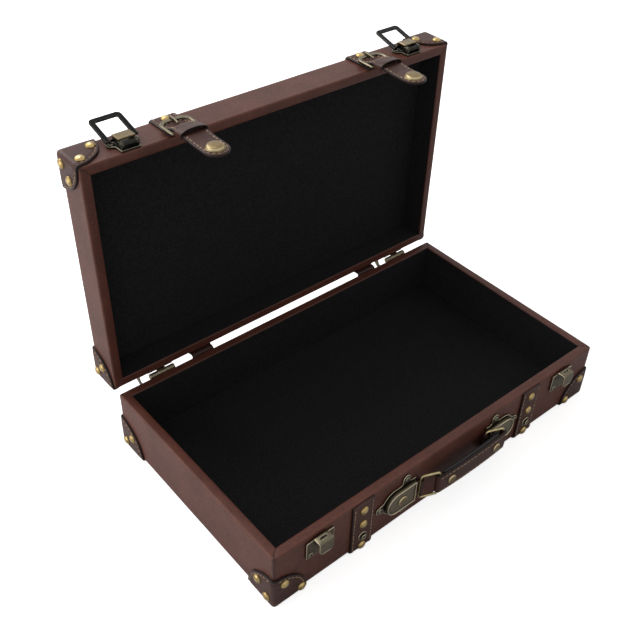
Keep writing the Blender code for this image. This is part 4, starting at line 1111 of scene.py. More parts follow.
def add_stitches(
    shape: Shape, spots: Sequence[Spot], pitch: float = 0.0046, length: float = 0.0034, radius: float = 0.00044
) -> None:
    """Lays short stitches end to end along a line of places.

    Args:
        shape: The shape that they are added to.
        spots: Points close together, each with its outward direction.
        pitch: The distance from one stitch to the next.
        length: How much of a stitch shows.
        radius: The thread's radius.
    """
    marks = [0.0]
    for first, second in zip(spots, spots[1:]):
        marks.append(marks[-1] + (second[0] - first[0]).length)
    count = max(1, round(marks[-1] / pitch))
    step = marks[-1] / count
    for index in range(count):
        middle = (index + 0.5) * step + CHANCE.uniform(-0.00015, 0.00015)
        at = min(range(len(marks)), key=lambda item: abs(marks[item] - middle))
        low, high = max(at - 2, 0), min(at + 2, len(spots) - 1)
        if high == low:
            continue
        along = (spots[high][0] - spots[low][0]).normalized()
        outward = spots[at][1]
        across = along.cross(outward)
        rows = []
        for reach, share, lift in STITCH_RINGS:
            centre = spots[at][0] + along * (reach * length) + outward * (lift + radius * 0.45)
            turns = [math.pi * side / 3 for side in range(6)]
            rows.append([centre + radius * share * (across * math.cos(t) + outward * math.sin(t)) for t in turns])
        shape.loft(rows)


# The case's two halves


@dataclass
class CaseHalf:
    """The base or the lid: its leather cover, its lining and its corner leathers."""

    name: str
    closed_face: float
    way: int
    depth: float
    place: Matrix
    corner_radius: float
    nail_angles: tuple[float, float]

    def level(self, height: float) -> float:
        """Turns a distance from the closed face into a height."""
        return self.closed_face + self.way * height

    def loops(self, profile: Sequence[tuple], wall: float) -> tuple[list, list]:
        """Loops round the case for a profile.

        Args:
            profile: Inset, distance from the closed face, corner radius, seam depth, darkening and lightening values.
            wall: The depth of the unevenness of the walls.

        Returns:
            The loops, and the marks of their points.
        """
        rows, marks = [], []
        for reach, height, radius, seam, dark, rub_and_highlight in profile:
            points, nearness = rim_loop(LENGTH / 2 - reach, WIDTH / 2 - reach, radius)
            row = []
            for point, near in zip(points, nearness):
                spot = Vector((point.x, point.y, self.level(height - seam * near)))
                uneven = waver(spot, 0.035, wall) + waver(spot, 0.008, wall * 0.3)
                row.append(spot + Vector((point.x / LENGTH, point.y / WIDTH, 0)).normalized() * min(uneven, 0.0))
            rows.append(row)
            mitre = 0.7 if height > ROUND else 0.0
            marks.append([(min(1.0, dark + near * mitre), rub_and_highlight * (1 - near)) for near in nearness])
        return rows, marks

    def build_cover(self) -> None:
        """Builds the leather cover, turned in over the rim and mitred at its corners."""
        deep = self.depth
        turn = 0.0014
        profile = [(0.09, 0, 0.01, 0, 0, 0), (0.03, 0, 0.004, 0, 0, 0), (0.006, 0, 0.003, 0, 0, 0)]
        # The bends at the closed face and at the rim are marked paler: partly worn leather, partly a painted highlight.
        for angle in range(0, 91, 18):
            swing = math.radians(angle)
            reach, height = ROUND * (1 - math.sin(swing)), ROUND * (1 - math.cos(swing))
            profile.append((reach, height, 0.0018, 0, 0, 0.3))
        rises = [0.0035] + [0.0035 + (deep - 0.007) * step / 5 for step in range(1, 5)] + [deep - 0.0032]
        profile += [(0, height, 0.0018, 0, 0, 0) for height in rises]
        for angle in range(0, 91, 18):
            swing = math.radians(angle)
            reach, height = turn * (1 - math.cos(swing)), deep - turn * (1 - math.sin(swing))
            profile.append((reach, height, 0.0018 - reach * 0.6, 0.00005, 0, 0.35))
        profile += [(0.0022, deep + 0.00003, 0.0008, 0.0003, 0, 0.05), (0.0045, deep + 0.00012, 0.0005, 0.00035, 0, 0)]
        profile += [(0.0072, deep + 0.00008, 0.0004, 0.00035, 0, 0), (0.0082, deep - 0.00005, 0.0004, 0.0003, 0.1, 0.2)]
        profile += [(0.0087, deep - 0.0003, 0.0004, 0.0002, 0.35, 0), (RIM, deep - 0.0008, 0.0004, 0, 0.8, 0)]
        profile += [(0.0089, deep - 0.0014, 0.0004, 0, 1, 0), (0.0084, deep - 0.0016, 0.0004, 0, 1, 0)]
        profile += [(0.0014, deep - 0.0016, 0.0004, 0, 1, 0), (0.0012, deep - 0.003, 0.0006, 0, 1, 0)]
        profile += [(0.0012, 0.003, 0.0006, 0, 1, 0), (0.003, 0.0012, 0.0006, 0, 1, 0), (0.09, 0.0012, 0.01, 0, 1, 0)]
        shape = Shape(self.place)
        shape.loft(*self.loops(profile, 0.00022))
        shape.build(f"{self.name}_cover_leather", COVER, self.name, "cover_leather", [f"{self.name}_cover"])

    def build_lining(self) -> None:
        """Builds the cloth over the walls and the cloth-covered panel that lies inside them."""
        floor = 0.0056
        deep = self.depth - 0.0013
        profile = [(0.03, floor, 0.004, 0, 0, 0), (0.0105, floor, 0.002, 0, 0.3, 0)]
        profile += [(0.0094, floor + 0.0002, 0.0016, 0, 0.6, 0), (RIM, floor + 0.0007, 0.0014, 0, 0, 0)]
        profile += [(RIM, floor + 0.0007 + (deep - floor) * step / 5, 0.0014, 0, 0, 0) for step in range(1, 5)]
        profile += [(RIM, deep - 0.0002, 0.0014, 0, 0, 0), (0.0088, deep, 0.0014, 0, 0, 0)]
        profile += [(0.0083, deep, 0.0014, 0, 0, 0), (0.0083, floor - 0.0008, 0.0014, 0, 1, 0)]
        profile.append((0.03, floor - 0.0008, 0.004, 0, 1, 0))
        walls = Shape(self.place)
        walls.loft(*self.loops(profile, 0.0))
        walls.build(f"{self.name}_wall_cloth", LINING, self.name, "black_fabric", [f"{self.name}_lining"])
        top = 0.0067
        tiers = [(0.06, top - 0.0011, 0.01, 0, 1, 0), (0.0098, top - 0.0011, 0.002, 0, 1, 0)]
        tiers += [(0.0095, top - 0.0007, 0.002, 0, 0.4, 0), (0.0096, top - 0.0003, 0.0019, 0, 0, 0.9)]
        tiers += [(0.0101, top - 0.0001, 0.0017, 0, 0, 1.0), (0.0112, top, 0.0015, 0, 0, 0.3)]
        tiers += [(0.02, top, 0.001, 0, 0, 0), (0.06, top, 0.01, 0, 0, 0)]
        panel = Shape(self.place)
        panel.loft(*self.loops(tiers, 0.0))
        panel.build(f"{self.name}_panel_cloth", LINING, self.name, "black_fabric")

    def build_corners(self) -> None:
        """Builds the four corner leathers with their thread and nails."""
        for end_name, end in (("front", -1), ("rear", 1)):
            for side_name, side in SIDES.items():
                CornerLeather(self, side, end, side_name, end_name).build()


@dataclass
class CornerLeather:
    """Leather moulded over one corner of the case, round on each of the three faces."""

    half: CaseHalf
    side: int
    end: int
    side_name: str
    end_name: str
    groove: float = 0.0025

    def spot(self, turn: float, reach: float, lift: float) -> Spot:
        """A place on the leather.

        Args:
            turn: The angle round the corner in degrees, a right angle to a face.
            reach: The distance from the corner.
            lift: The height over the case's faces.

        Returns:
            The point and the outward direction.
        """
        lobe, rest = divmod(turn % 270, 90)
        cos, sin = math.cos(math.radians(rest)), math.sin(math.radians(rest))
        flat = Vector(((cos, sin, 0), (0, cos, sin), (sin, 0, cos))[int(lobe)]) * reach
        core = Vector([max(value, ROUND) for value in flat])
        outward = (flat - core).normalized()
        point = core + outward * (ROUND + lift)
        x, y = self.side * (LENGTH / 2 - point.x), self.end * (WIDTH / 2 - point.y)
        centre = Vector((x, y, self.half.level(point.z)))
        return centre, Vector((-self.side * outward.x, -self.end * outward.y, self.half.way * outward.z))

    def radius_at(self, turn: float) -> float:
        """The leather's radius, cut a little unevenly.

        Args:
            turn: The angle round the corner in degrees.

        Returns:
            The radius there.
        """
        angle = math.radians(turn * 4 / 3)
        rough = Vector((math.cos(angle) * 2, math.sin(angle) * 2, self.side + 3 * self.end))
        return self.half.corner_radius + waver(rough, 1.0, 0.0006)

    def build(self) -> None:
        """Builds the leather, its thread and its nails."""
        name = f"{self.half.name}_corner_{self.end_name}_{self.side_name}"
        leather, thread, nails = Shape(self.half.place), Shape(self.half.place), Shape(self.half.place)
        top = TRIM_TOP
        edges = [(0.0, SEAT, 1, 0), (0.0, top - 0.0007, 1, 0), (0.0003, top - 0.0002, 0.8, 0), (0.0008, top, 0.2, 0.2)]
        edges += [(0.0019, top, 0, 0), (self.groove, top - 0.0003, 0.35, 0), (0.0031, top, 0, 0)]
        edges.append((0.006, top + 0.0001, 0, 0))
        turns = [index * 2.5 for index in range(108)]
        rows, marks = [], []
        for reach, lift, dark, rub_and_highlight in edges:
            rows.append([self.spot(turn, self.radius_at(turn) - reach, lift)[0] for turn in turns])
            marks.append([(dark, rub_and_highlight)] * len(turns))
        for share in (0.68, 0.52, 0.36, 0.2, 0.1, 0.06, 0.03, 0.002):
            reach = self.half.corner_radius * share
            rows.append([self.spot(turn, reach, top + 0.0001)[0] for turn in turns])
            marks.append([(0.0, 0.5 if share < 0.15 else 0.0)] * len(turns))
        reaches = [self.half.corner_radius * share for share in (0.03, 0.2, 0.9)]
        under = [[self.spot(turn, reach, SEAT)[0] for turn in turns] for reach in reaches]
        leather.loft(under + rows, [[(1.0, 0.0)] * len(turns)] * 3 + marks)
        for lobe in range(3):
            sewn = range(lobe * 90 + 6, lobe * 90 + 85)
            line = [self.spot(turn, self.radius_at(turn) - self.groove, top - 0.0003) for turn in sewn]
            add_stitches(thread, line, 0.0047, 0.0031)
        self.add_nails(nails)
        build_sewn(name, self.half.name, leather, thread)
        nails.build(f"{name}_nails", GOLD, self.half.name, "gold_brass")

    def add_nails(self, shape: Shape) -> None:
        """Adds two domed nails on each upright face.

        Args:
            shape: The shape that they are added to.
        """
        end_face = Facing.FRONT if self.end < 0 else Facing.REAR
        side_face = Facing.LEFT if self.side < 0 else Facing.RIGHT
        far = self.half.corner_radius - NAIL_RADIUS - NAIL_MARGIN
        side_spots = zip((SIDE_NAIL_SHARE * far, far), SIDE_NAIL_ANGLES)
        spots = [(end_face, self.side * LENGTH / 2, far, angle) for angle in self.half.nail_angles]
        spots += [(side_face, self.end * WIDTH / 2, distance, angle) for distance, angle in side_spots]
        for face, edge, distance, angle in spots:
            along = edge - math.copysign(distance * math.cos(math.radians(angle)), edge)
            up = self.half.level(distance * math.sin(math.radians(angle)) - TRIM_TOP)
            add_nail(shape, face.at(along, up, TRIM_TOP))


# Straps, tongues and buckles


def in_front(out: float, up: float) -> Vector:
    """A point in the plane across the case, by its distance in front of the front face and its height."""
    return Vector((0, FRONT_Y - out, up))


def round_corner(corner_y: float, corner_up: float, start: float) -> list[Vector]:
    """The middle line's quarter turn round one long edge of the case."""
    return [Vector((0, p.x, p.y)) for p in arc((corner_y, corner_up), ROUND + SEAT + TRIM / 2, start, start + 90, 8)]


@dataclass
class StrapSet:
    """One strap: its run round the base, its run round the lid, its buckle, loop and tongue."""

    name: str
    side: int
    x: float = 0.107
    half: float = 0.01225
    middle: float = 0.0012
    tongue_half: float = 0.0115
    tongue_tip: float = 0.0062
    low_out: float = 0.0062
    high_out: float = 0.0075
    bend_up: float = 0.046
    stud_up: float = 0.0182
    base_top: float = 0.061
    base_nails: tuple[float, float, float] = (0.052, 0.034, 0.0055)
    lid_bottom: float = 0.064
    lid_nail: float = 0.0892
    buckle_out: float = 0.0045

    def track(self, points: Sequence[Vector]) -> Track:
        """A track across the case at the strap's place."""
        shift = Vector((self.side * self.x, 0, 0))
        return Track([point + shift for point in points], Vector((1, 0, 0)))

    def build(self) -> None:
        """Builds the whole strap."""
        self.build_base_run()
        self.build_bridge()
        self.build_lid_run()
        self.build_buckle()
        self.build_chape_and_loop()
        self.build_tongue()
        self.build_stud()

    def build_base_run(self) -> None:
        """Builds the run from the front rim, under the base and up the rear, with its nails."""
        low = BASE_BOTTOM + ROUND
        line = [in_front(self.middle, up) for up in (self.base_top, 0.052, 0.0435, 0.034, 0.02)]
        line += round_corner(FRONT_Y + ROUND, low, 180)
        line += round_corner(REAR_Y - ROUND, low, 270)
        line.append(Vector((0, REAR_Y + self.middle, HINGE.z)))
        strip = Strip(self.track(line), self.half, TRIM, pitch=0.004)
        leather, thread, nails = Shape(), Shape(), Shape()
        strip.add(leather)
        strip.sew_sides(thread, 0.002, strip.track.length - 0.001)
        for up in self.base_nails:
            add_nail(nails, Facing.FRONT.at(self.side * self.x, up, TRIM_TOP))
        build_sewn(f"base_strap_{self.name}", "base", leather, thread)
        nails.build(f"base_strap_{self.name}_nails", GOLD, "base", "gold_brass")

    def build_bridge(self) -> None:
        """Builds the short piece that bends round the hinge line from the base to the lid."""
        radius = HINGE.y - REAR_Y - self.middle
        line = [Vector((0, p.x, p.y)) for p in arc((HINGE.y, HINGE.z), radius, 180, 80, 12)]
        end = OPEN @ Vector((0, REAR_Y + self.middle, self.lid_bottom))
        line += [line[-1].lerp(end, 0.5), end]
        leather = Shape()
        Strip(self.track(line), self.half - 0.0004, 0.0015, pitch=0.0008).add(leather)
        piece = leather.build(f"strap_bridge_{self.name}_leather", TRIM_LEATHER, "", "trim_leather")
        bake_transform(piece)

    def build_lid_run(self) -> None:
        """Builds the run from the hinge line over the lid to its front rim, with its nail."""
        high = LID_TOP - ROUND
        line = [Vector((0, REAR_Y + self.middle, self.lid_bottom))]
        line += round_corner(REAR_Y - ROUND, high, 0)
        line += round_corner(FRONT_Y + ROUND, high, 90)
        line.append(in_front(self.middle, self.lid_bottom))
        strip = Strip(self.track(line), self.half, TRIM, pitch=0.004)
        leather, thread, nails = Shape(OPEN), Shape(OPEN), Shape(OPEN)
        strip.add(leather)
        strip.sew_sides(thread, 0.001, strip.track.length - 0.002)
        add_nail(nails, Facing.FRONT.at(self.side * self.x, self.lid_nail, TRIM_TOP))
        build_sewn(f"lid_strap_{self.name}", "lid", leather, thread)
        nails.build(f"lid_strap_{self.name}_nails", GOLD, "lid", "gold_brass")

    def build_buckle(self) -> None:
        """Builds the buckle's frame, with its broad arch, and its prong."""
        x = self.side * self.x
        out = self.buckle_out
        shape = Shape(OPEN @ Facing.FRONT.at(x, 0, out))
        outer = box_outline(0.0145, 0.057, 0.081, 0.002, 0.008, 7)
        inner = box_outline(0.0119, 0.0594, 0.0776, 0.0009, 0.0067, 7)
        shape.frame_plate(outer, inner, 0.0, 0.0018, 0.0006)
        shape.build_metal(f"buckle_frame_{self.name}", AGED, "lid", "aged_brass")
        over = out + 0.0016 + 0.0013
        line = [in_front(out, 0.0823), in_front(over - 0.001, 0.0823), in_front(over - 0.0002, 0.0820)]
        line += [in_front(over, 0.081), in_front(over, 0.0776), in_front(0.0069, 0.074), in_front(0.0063, 0.0705)]
        prong = Shape(OPEN @ Matrix.Translation((x, 0, 0)))
        prong.tube(line, 0.001, Vector((1, 0, 0)))
        prong.build_metal(f"buckle_prong_{self.name}", AGED, "lid", "aged_brass")

    def build_chape_and_loop(self) -> None:
        """Builds the sewn end of the strap behind the buckle and the loop over the tongue."""
        low = TRIM_TOP + self.middle
        line = [in_front(low, 0.079), in_front(low, 0.0722), in_front(self.high_out, 0.0615)]
        line.append(in_front(self.high_out, self.bend_up + 0.00135))
        strip = Strip(self.track(line), self.tongue_half, TRIM, pitch=0.002)
        leather, thread = Shape(OPEN), Shape(OPEN)
        strip.add(leather)
        strip.sew_sides(thread, 0.003, strip.track.length - 0.001)
        aside = strip.half - strip.groove
        strip.sew(thread, [(0.0022, aside - 0.001), (0.0022, 0.001 - aside)])
        build_sewn(f"strap_chape_{self.name}", "lid", leather, thread)
        rings = [(0.0465, 1.0, 1), (0.0468, 1.0, 0.6), (0.0474, 1.0, 0)]
        rings += [(0.0515, 0.93, 0), (0.0557, 0.87, 0), (0.0566, 0.86, 1)]
        rows, marks = [], []
        for up, grow, dark in rings:
            row = []
            for thick in (0.0012, 0.0002):
                half = self.tongue_half + 0.0002 + thick * 0.9
                spring = self.high_out + TRIM / 2 - 0.0004
                rise = (0.0125 * grow + 0.0001 - (0.0012 - thick)) - spring
                turns = [math.radians(180 - 180 * step / 20) for step in range(21)]
                points = [Vector((half * math.cos(t), up, spring + rise * math.sin(t) ** 0.75)) for t in turns]
                points = [Vector((-half, up, 0.0049)), *points, Vector((half, up, 0.0049))]
                row += points if thick > 0.001 else points[::-1]
            rows.append(row)
            marks.append([(dark, 0.0)] * len(row))
        loop = Shape(OPEN @ Facing.FRONT.at(self.side * self.x, 0, 0))
        loop.loft(rows, marks)
        loop.build(f"strap_loop_{self.name}_leather", TRIM_LEATHER, "lid", "trim_leather", [f"strap_loop_{self.name}"])

    def build_tongue(self) -> None:
        """Builds the loose end of the strap, sewn round its edge, with its snap cap."""
        line = [in_front(self.high_out, self.bend_up), in_front(self.low_out + 0.0001, 0.034)]
        line += [in_front(self.low_out, 0.03), in_front(self.low_out, self.tongue_tip)]
        strip = Strip(self.track(line), self.tongue_half, TRIM, round_end=True, pitch=0.002)
        leather, thread, cap = Shape(OPEN), Shape(OPEN), Shape(OPEN)
        strip.add(leather)
        strip.sew(thread, strip.seam(0.001, 0.001))
        body = f"tongue_{self.name}"
        build_sewn(body, body, leather, thread)
        place = Facing.FRONT.at(self.side * self.x, self.stud_up, self.low_out + TRIM / 2)
        # A painted highlight on the cap's shoulder, and painted shade round its lower flange.
        profile = [(0.0002, 0.0033), (0.004, 0.0032), (0.0061, 0.0029), (0.0069, 0.0024, 0.0, 0.3)]
        profile += [(0.0073, 0.0018, 0.0, 0.8), (0.0075, 0.0012, 0.0, 0.5), (0.0075, 0.001, 0.5, 0.0)]
        profile += [(0.008, 0.0007, 0.2, 0.2), (0.0083, 0.0004, 0.3, 0.0)]
        profile += [(0.0081, 0.0), (0.006, 0.0001), (0.0022, 0.0), (0.0022, -0.0018)]
        cap.lathe(profile, place, 40)
        cap.build_metal(f"snap_cap_{self.name}", BRONZE, body, "aged_brass")

    def build_stud(self) -> None:
        """Builds the press stud on the base strap."""
        stud = Shape()
        # Painted shade in the stud's middle hole, under its rim and round its foot; a painted highlight on its rims.
        profile = [(0.0004, 0.0021, 1.0, 0.0), (0.0016, 0.0021, 1.0, 0.0), (0.0019, 0.0026, 0.2, 0.3)]
        profile += [(0.0024, 0.0026, 0.0, 0.6), (0.0028, 0.0022, 0.3, 0.0), (0.0024, 0.0012, 1.0, 0.0)]
        profile += [(0.0027, 0.0009, 1.0, 0.0), (0.0041, 0.0009, 0.2, 0.0), (0.0047, 0.0008, 0.0, 0.5)]
        profile += [(0.005, 0.0004, 0.3, 0.0), (0.005, 0.0, 1.0, 0.0)]
        stud.lathe(profile, Facing.FRONT.at(self.side * self.x, self.stud_up, TRIM_TOP), 28)
        stud.build_metal(f"snap_stud_{self.name}", AGED, "base", "aged_brass")


# Latches and keepers


@dataclass
class Latch:
    """One latch: a plate with a lever and a bail on the lid, and the keeper on the base that the bail hooks."""

    name: str
    side: int
    x: float = 0.154
    lever_out: float = 0.0055
    lever_up: float = 0.0665
    bail_out: float = 0.00475
    bail_up: float = 0.0785

    def build(self) -> None:
        """Builds the latch and its keeper."""
        self.build_plate()
        self.build_lever()
        self.build_bail()
        self.build_keeper()

    def across(self, inner: float, outer: float, outline: Outline, shape: Shape, bevel: float = 0.00025) -> None:
        """Adds a plate across the latch between two places, from an outline of distances out and up."""
        shape.plate(outline, inner, outer, bevel, ACROSS_LATCH)

    def build_plate(self) -> None:
        """Builds the plate with its two ears, its cheeks, the lever's pin and the screws."""
        x = self.side * self.x
        plate = Shape(OPEN @ Facing.FRONT.at(x, 0, 0))
        ear, spread, up = 0.0044, 0.0096, 0.0785
        outline = [Vector((0.0088, 0.0641)), Vector((0.0088, up - ear - 0.0012))]
        outline += arc((spread, up), ear, -80, 90, 8) + arc((-spread, up), ear, 90, 260, 8)
        outline += [Vector((-0.0088, up - ear - 0.0012)), Vector((-0.0088, 0.0641))]
        plate.worn_and_shaded_plate(outline, SEAT, 0.0018)
        cheek = [Vector((0.001, 0.0643)), Vector((0.001, 0.0715))]
        cheek += [Vector((0.006, 0.0713)), Vector((0.0077, 0.070))]
        cheek += arc((self.lever_out, self.lever_up), 0.0022, 0, -90, 6)
        for way in (-1, 1):
            low, high = sorted((way * 0.0073, way * 0.0083))
            self.across(low, high, cheek, plate)
        pin = [Vector((self.lever_out + p.x, self.lever_up + p.y)) for p in arc((0, 0), 0.001, 0, 330, 11)]
        self.across(-0.0088, 0.0088, pin, plate)
        plate.build_metal(f"latch_plate_{self.name}", DARK, "lid", "dark_metal")
        screws = Shape(OPEN)
        for way in (-1, 1):
            add_screw(screws, Facing.FRONT.at(x + way * spread, up, 0.0018))
        screws.build(f"latch_screws_{self.name}_metal", DARK, "lid", "black_metal")

    def build_lever(self) -> None:
        """Builds the lever: a short bent cap over the bail's pin, on two dark arms that turn on the plate."""
        place = OPEN @ Facing.FRONT.at(self.side * self.x, 0, 0)
        cap, arms = Shape(place), Shape(place)
        inner = self.lever_out + 0.0025
        foot, top = self.lever_up + 0.0036, self.bail_up + 0.0022
        points = [(0.0, foot), (0.0002, foot - 0.0006), (0.0012, foot - 0.0008), (0.0018, foot - 0.0004)]
        points += [(0.0015, foot + 0.0008), (0.0015, top - 0.0022), (0.0011, top - 0.0008), (0.0, top)]
        points += [(-0.0012, top + 0.0001), (-0.0012, top - 0.001), (0.0, top - 0.0018)]
        outline = [Vector((inner + out, up)) for out, up in points]
        self.across(-0.00775, 0.00775, outline, cap, 0.0004)
        face = inner + 0.0004
        wall = [Vector((face, foot)), Vector((self.lever_out + 0.0024, self.lever_up + 0.0004))]
        wall += arc((self.lever_out, self.lever_up), 0.0024, -20, -180, 6)
        wall += arc((self.bail_out, self.bail_up), 0.0022, 180, 90, 5) + [Vector((face, top - 0.0002))]
        for way in (-1, 1):
            low, high = sorted((way * 0.0060, way * 0.0070))
            self.across(low, high, wall, arms)
        self.across(-0.0060, 0.0060, arc((self.lever_out, self.lever_up), 0.0021, 0, 330, 11), arms)
        body = f"lever_{self.name}"
        cap.build_metal(f"latch_lever_{self.name}", BRONZE, body, "aged_brass")
        arms.build(f"latch_lever_arms_{self.name}_metal", DARK, body, "aged_brass")

    def build_bail(self) -> None:
        """Builds the flat black bail that hangs on the lever, with its pin."""
        x = self.side * self.x
        pivot = Vector((x, FRONT_Y - self.bail_out, self.bail_up))
        lean = turn_about(OPEN @ pivot, 15, "X")
        shape = Shape(lean @ OPEN @ Facing.FRONT.at(x, self.bail_up, self.bail_out))
        half, stock, reach, corner = 0.0145, 0.0045, 0.0278, 0.004
        outer = [Vector((half, -0.0012))] + arc((half - corner, reach - corner), corner, 0, 90, 6)
        outer += arc((corner - half, reach - corner), corner, 90, 180, 6) + [Vector((-half, -0.0012))]
        inner = [Vector((half - stock, -0.0012))] + arc((half - stock - 0.001, reach - stock - 0.001), 0.001, 0, 90, 6)
        inner += arc((0.001 + stock - half, reach - stock - 0.001), 0.001, 90, 180, 6)
        inner.append(Vector((stock - half, -0.0012)))
        thick, bevel = 0.001, 0.0004
        edges = ((-thick, bevel), (bevel - thick, 0), (thick - bevel, 0), (thick, bevel))
        rows = []
        for first, second in zip(outer, inner):
            aside = (first - second).normalized()
            ring = []
            for point, way in ((first, 1), (second, -1)):
                for height, ease in edges:
                    spot = point - aside * (way * ease)
                    ring.append(Vector((spot.x, spot.y, way * height)))
            rows.append(ring)
        shape.loft(rows)
        pin = [Vector((half * way, 0, 0)) for way in (-0.97, -0.4, 0.4, 0.97)]
        shape.tube(pin, 0.00105, Vector((0, 0, 1)))
        shape.build_metal(f"latch_bail_{self.name}", BLACK, f"bail_{self.name}", "black_metal")

    def build_keeper(self) -> None:
        """Builds the keeper: a screwed plate with eased corners and a slotted hook."""
        x = self.side * self.x
        shape = Shape(Facing.FRONT.at(x, 0, 0))
        half, low, high = 0.0145, 0.037, 0.057
        outline = box_outline(half, low, high, 0.0016, 0.0012, 4)
        shape.worn_and_shaded_plate(outline, SEAT, 0.0018)
        self.add_hook(shape)
        shape.build_metal(f"keeper_{self.name}", AGED, "base", "aged_brass")
        screws = Shape()
        for way in (-1, 1):
            add_screw(screws, Facing.FRONT.at(x + way * 0.0102, 0.0412, 0.0018))
        screws.build(f"keeper_screws_{self.name}_metal", DARK, "base", "black_metal")

    def add_hook(self, shape: Shape) -> None:
        """Adds the hook: a strip bent over at the top, slotted there, with a lip round at its lower corners.

        Args:
            shape: The keeper's shape, drawn on the front face.
        """
        thick, bend, eased = 0.0015, 0.0012, 0.0003
        back, face, top = 0.00105, 0.00925, 0.05825
        spring = top - bend
        turns = (0.4, 0.8, 1.2, math.pi / 2)
        line = [Vector((0, 0.049, back)), Vector((0, spring, back))]
        line += [Vector((0, spring + bend * math.sin(a), back + bend - bend * math.cos(a))) for a in turns]
        line += [Vector((0, top, z)) for z in (0.00375, 0.0050, 0.00625)]
        line += [Vector((0, spring + bend * math.cos(a), face - bend + bend * math.sin(a))) for a in (0, *turns)]
        line += [Vector((0, up, face)) for up in (0.054, 0.0495, 0.0478, 0.0464, 0.0455, 0.0450)]
        track = Track(line, Vector((-1, 0, 0)))
        cells = [-0.00725, -0.0069, -0.0035, 0.0, 0.0035, 0.0069, 0.00725]
        start = len(shape.points)
        width = len(cells)
        for lift in (thick / 2, -thick / 2):
            for along in track.marks:
                point, outward = track.at(along)
                remain = track.length - along
                narrow = 0.004 - math.sqrt(max(0.004**2 - (0.004 - remain) ** 2, 0)) if remain < 0.004 else 0.0
                for cell in cells:
                    aside = math.copysign(max(abs(cell) - narrow, 0), cell)
                    ease = math.copysign(eased if abs(cell) > 0.007 else 0.0, lift)
                    spot = point + Vector((aside, 0, 0)) + outward * (lift - ease)
                    shape.points.append(shape.place @ spot)
                    # The hook's side edges and its end are painted bright: partly worn metal, partly a painted
                    # highlight.
                    shape.marks.append((0.0, 0.9 if remain < 0.0006 or abs(cell) > 0.007 else 0.0))
        rows = len(track.marks)
        slot_rows, slot_cells = (6, 7), (2, 3)
        skip = {(row, cell) for row in slot_rows for cell in slot_cells}

        def index_of(side: int, row: int, cell: int) -> int:
            """The number of a point of the hook."""
            return start + side * rows * width + row * width + cell

        for row in range(rows - 1):
            for cell in range(width - 1):
                if (row, cell) in skip:
                    continue
                for side in (0, 1):
                    quad = ((row, cell), (row, cell + 1), (row + 1, cell + 1), (row + 1, cell))
                    shape.faces.append(tuple(index_of(side, *item) for item in quad))
        borders = [((row, end), (row + 1, end)) for row in range(rows - 1) for end in (0, width - 1)]
        borders += [((end, cell), (end, cell + 1)) for cell in range(width - 1) for end in (0, rows - 1)]
        borders += [((row, cell), (row + 1, cell)) for row in slot_rows for cell in (2, 4)]
        borders += [((row, cell), (row, cell + 1)) for row in (6, 8) for cell in slot_cells]
        for first, second in borders:
            shape.faces.append((index_of(0, *first), index_of(0, *second), index_of(1, *second), index_of(1, *first)))


# Hinges


